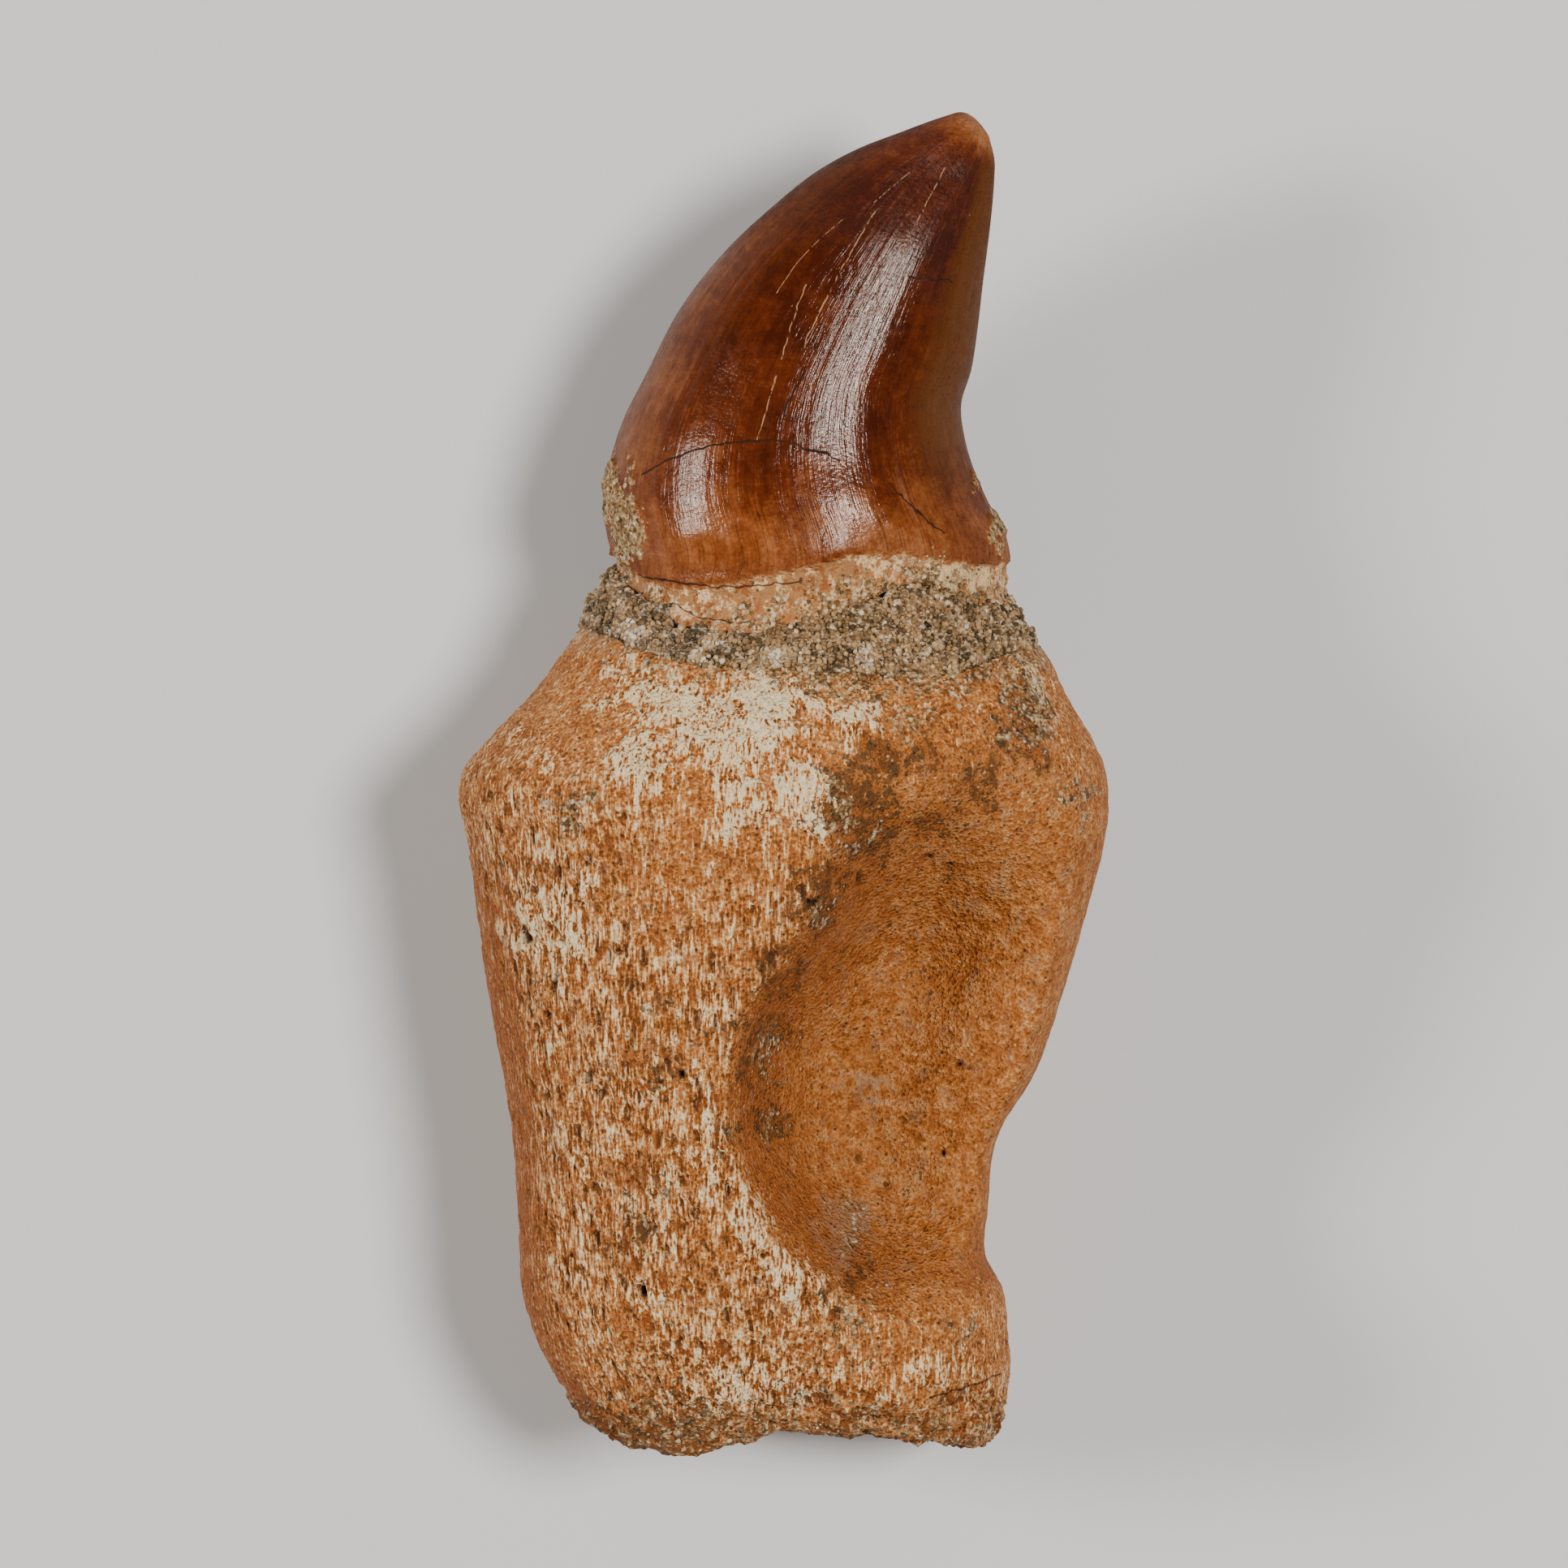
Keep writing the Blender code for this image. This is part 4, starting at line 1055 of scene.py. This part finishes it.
    # Enamel: deep red-brown, paler towards its ends, mottled and with fine lengthwise lines
    fine_lines = finish.noise(flow, (0.1, 0.1, 2.0), 2.0, 4.0)
    bands = finish.noise(flow, (0.7, 0.7, 7.0), 2.0, 6.0)
    warmth = pale * 0.75 + bands.swing(0.5) + fine_lines.swing(0.4) + blotches.swing(0.8)
    warmth = warmth + grains.swing(0.5) + crumbs.swing(0.5) + mottles.swing(0.25) + 0.22
    glaze = finish.ramp(warmth, colours, ENAMEL_RAMP)
    wobble = finish.noise(place, 0.5, 1.0, 15.0).swing(0.3)
    light, dark = (
        functools.reduce(Socket.most, [finish.line(x + wobble, y + wobble, *row) for row in table])
        for table in (LIGHT_HAIRLINES, DARK_CRACKS)
    )
    upper = z.step(5.0, 7.0)
    light = light * threads.step(0.4, 0.54) * upper
    dark = dark * upper
    glaze = finish.coat(
        glaze,
        (olive * (fine_lines * 0.8 + 0.4).held(), colours.enamel_olive),
        (fine_lines.step(0.38, 0.32) * pale * 0.6, colours.crack_and_pit_shade),
        (light * 0.6, colours.hairline),
        (dark * 0.88, colours.crack_and_pit_shade),
    )
    crusty = (crust + crumbs.swing(0.7) + grains.swing(0.5)).step(0.44, 0.56)
    shell = other * 0.55 + grains.swing(1.4) + crumbs.swing(0.8) + 0.16
    shell = finish.ramp(shell, sand, SAND_RAMP)
    bone = finish.coat(bone, (enamel, glaze), (crusty, shell), (dark * 0.85, colours.crack_and_pit_shade))
    glossy = enamel.step(0.3, 0.7) * (1 - crusty) * (gloss + crumbs.swing(0.5)).held() * (1 - dark)
    rough = threads * (0.4 + fibre * 0.9 - hollow * 0.3) + grains * (0.8 + hollow * 0.5) + crumbs * 0.8
    roughness = 0.6 + grains * 0.3 - gritty * 0.25
    finish.wear(Base_Color=bone, Roughness=roughness, Normal=finish.bump(rough, 0.2))
    striae = finish.noise(flow, (0.13, 0.13, 1.6), 2.0, 18.0)
    finish.second_shader(
        glossy,
        Base_Color=glaze,
        Roughness=0.19 + crumbs.swing(0.25),
        Normal=finish.bump(striae + grains * 0.8 + crumbs * 0.5, 0.018),
        IOR=1.4,
        Specular_Tint=(1.0, 0.9, 0.78),
    )
    return finish.material


def crust_finish(settings):
    """Fine sand set in a crust, olive on the left and golden on the right."""
    finish = Finish("sandy_crust", IOR=1.5)
    place = finish.place()
    x, _, _ = finish.parts(place)
    near, tint, other = finish.cells(place, 0.15)
    fine = finish.noise(place, 0.1)
    clumps = finish.noise(place, 0.5, 2.0, 6.0)
    broad = finish.noise(place, 1.4, 2.0, 16.0)
    # Painted shade in the gaps between the grains
    grain_gap_shade = near.step(0.4, 0.8)
    level = tint * 0.5 + clumps.swing(1.8) + broad.swing(0.9) + fine.swing(1.1) - grain_gap_shade * 0.45
    level = level + 0.35 + finish.attribute("white") * 0.4
    golden = (x + broad.swing(9.0)).step(-4.5, 0.0)
    greyer, sandy = (finish.ramp(level, settings, table) for table in (GREY_SAND_RAMP, SAND_RAMP))
    sand = finish.mix(golden * 0.8 + 0.2, greyer, sandy)
    rusty = (broad * 0.6 + clumps * 0.4).step(0.5, 0.56) * other.step(0.2, 0.45)
    # Painted shade inside the ring's holes, in dark olive
    hole = finish.attribute("hole").step(0.3, 0.7)
    sand = finish.coat(sand, (rusty * 0.65, settings.rust), (hole * 0.9, settings.olive))
    rough = finish.bump(fine * 0.6 - near + clumps - hole * 3, 0.16)
    finish.wear(Base_Color=sand, Roughness=0.35 + other * 0.5, Normal=rough)
    return finish.material


def grain_finish(settings):
    """Loose grains, each in one of the sand's colours."""
    finish = Finish("sand_grains", IOR=1.5)
    tint = finish.attribute("tint")
    fine = finish.noise(finish.place(), 0.12)
    sand = finish.ramp(tint + fine.swing(0.25), settings, SAND_RAMP)
    finish.wear(Base_Color=sand, Roughness=0.7 - tint * 0.45)
    return finish.material


class FOSSIL_OT_tooth(bpy.types.Operator):
    """Grows the crown and the root as one skin, with its fine relief"""

    bl_idname = "fossil.tooth"
    bl_label = "Crown and root"

    def execute(self, context):
        scene = context.scene
        rows, flow, cover = tooth_rows(scene.tooth_shape)
        finish = tooth_finish(scene.tooth_colours, scene.sand_settings)
        piece = skinned("tooth_surface", rows, False, finish, {**cover, "flow": flow})
        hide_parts("tooth")
        return {"FINISHED"}


class FOSSIL_OT_ring(bpy.types.Operator):
    """Lays the sandy crust round the neck"""

    bl_idname = "fossil.ring"
    bl_label = "Sandy ring"

    def execute(self, context):
        settings = context.scene.sand_settings
        angles = np.linspace(0, 2 * np.pi, RING_ROUND, endpoint=False)
        outer, inner = ring_surface(angles, RING_ACROSS, settings)
        rows = np.concatenate([outer, inner], axis=1)
        shown = np.zeros(rows.shape[:2])
        shown[:, 2 : RING_ACROSS - 2] = 1.0
        x, y = rows[..., 0], rows[..., 1]
        hole = patches(x, y, SAND_HOLES)
        values = {"shown": shown * (hole == 0), "white": patches(x, y, WHITE_SAND), "hole": hole}
        piece = skinned("sandy_ring", rows, True, crust_finish(settings), values)
        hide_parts("matrix_collar")
        return {"FINISHED"}


class FOSSIL_OT_grains(bpy.types.Operator):
    """Sets sand grains on the ring and on the dirty parts of the root"""

    bl_idname = "fossil.grains"
    bl_label = "Sand grains"

    def execute(self, context):
        settings = context.scene.sand_settings
        finish = grain_finish(settings)
        radius = settings.grain_radius / MM
        chance = np.random.default_rng(seed=7)
        for name, carrier, weight, count, tint, sizes in (
            ("ring_grains", "sandy_ring", "shown", settings.ring_grains, 0.38, (0.5, 1.9)),
            ("root_grains", "tooth_surface", "dirt", settings.root_grains, 0.34, (0.3, 1.1)),
        ):
            spots, ways = scatter(bpy.data.objects[carrier], weight, count, chance)
            tints = chance.normal(tint, 0.2, count) + 0.4 * uneven(spots, 0.8, 3.0, 2)
            tints = np.clip(tints + 0.4 * patches(spots[:, 0], spots[:, 1], WHITE_SAND), 0, 1)
            radii = radius * chance.uniform(*sizes, count)
            piece = sand_grains(name, spots, ways, radii, tints, finish, chance)
        return {"FINISHED"}


class FOSSIL_OT_studio(bpy.types.Operator):
    """Sets the camera, the lights and the plain floor"""

    bl_idname = "fossil.studio"
    bl_label = "Studio"

    def execute(self, context):
        settings = context.scene.studio_settings
        self.floor(settings)
        self.camera(context, settings)
        self.light("key_light", place=(-1.03, 0.11, 0.75), size=0.3, power=settings.key_power)
        self.light("top_light", place=(0.41, 0.06, 0.98), size=0.24, power=settings.top_power)
        world = bpy.data.worlds.new("soft_sky")
        world.use_nodes = True
        sky = world.node_tree.nodes["Background"].inputs
        sky["Color"].default_value = (1.0, 0.96, 0.9, 1.0)
        sky["Strength"].default_value = settings.sky
        context.scene.world = world
        return {"FINISHED"}

    def floor(self, settings):
        bm = bmesh.new()
        bmesh.ops.create_circle(bm, cap_ends=True, segments=64, radius=4.0)
        bmesh.ops.translate(bm, verts=bm.verts, vec=(0, 0, -FLOOR_GAP * MM))
        mesh = mesh_of(bm, "floor")
        finish = Finish("floor_paper", Base_Color=settings.floor, Roughness=0.9)
        mesh.materials.append(finish.material)
        piece = placed("floor", mesh)

    def camera(self, context, settings):
        lens = bpy.data.cameras.new("camera")
        lens.lens = settings.lens
        lens.sensor_width = 36.0
        lens.clip_start = 0.01
        lens.clip_end = 20.0
        camera = placed("camera", lens)
        height = VIEW_LEVEL * MM + settings.view_width * settings.lens / lens.sensor_width
        camera.location = (VIEW_X * MM, 0.0, height)
        context.scene.camera = camera

    def light(self, name, place, size, power):
        lamp = bpy.data.lights.new(name, "AREA")
        lamp.shape = "DISK"
        lamp.size = size
        lamp.energy = power
        piece = placed(name, lamp)
        piece.location = place
        piece.rotation_euler = (-Vector(place)).to_track_quat("-Z", "Y").to_euler()


STEPS = (FOSSIL_OT_tooth, FOSSIL_OT_ring, FOSSIL_OT_grains, FOSSIL_OT_studio)
SETTINGS = {
    "tooth_shape": ToothShape,
    "tooth_colours": ToothColours,
    "sand_settings": SandSettings,
    "studio_settings": StudioSettings,
}


class FOSSIL_PT_panel(bpy.types.Panel):
    """Lists the steps that dress the tooth, with their settings"""

    bl_idname = "FOSSIL_PT_panel"
    bl_label = "Fossil tooth"
    bl_space_type = "VIEW_3D"
    bl_region_type = "UI"
    bl_category = "Fossil tooth"

    def draw(self, context):
        for step in STEPS:
            self.layout.operator(step.bl_idname)
        for name, group in SETTINGS.items():
            box = self.layout.box()
            for setting in group.__annotations__:
                box.prop(getattr(context.scene, name), setting)


CLASSES = (*SETTINGS.values(), *STEPS, FOSSIL_PT_panel)


def register():
    for cls in CLASSES:
        bpy.utils.register_class(cls)
    for name, group in SETTINGS.items():
        setattr(bpy.types.Scene, name, PointerProperty(type=group))


def unregister():
    for name in SETTINGS:
        delattr(bpy.types.Scene, name)
    for cls in reversed(CLASSES):
        bpy.utils.unregister_class(cls)


def main():
    register()
    bpy.ops.fossil.studio()
    bpy.ops.fossil.tooth()
    bpy.ops.fossil.ring()
    bpy.ops.fossil.grains()


if __name__ == "__main__":
    main()
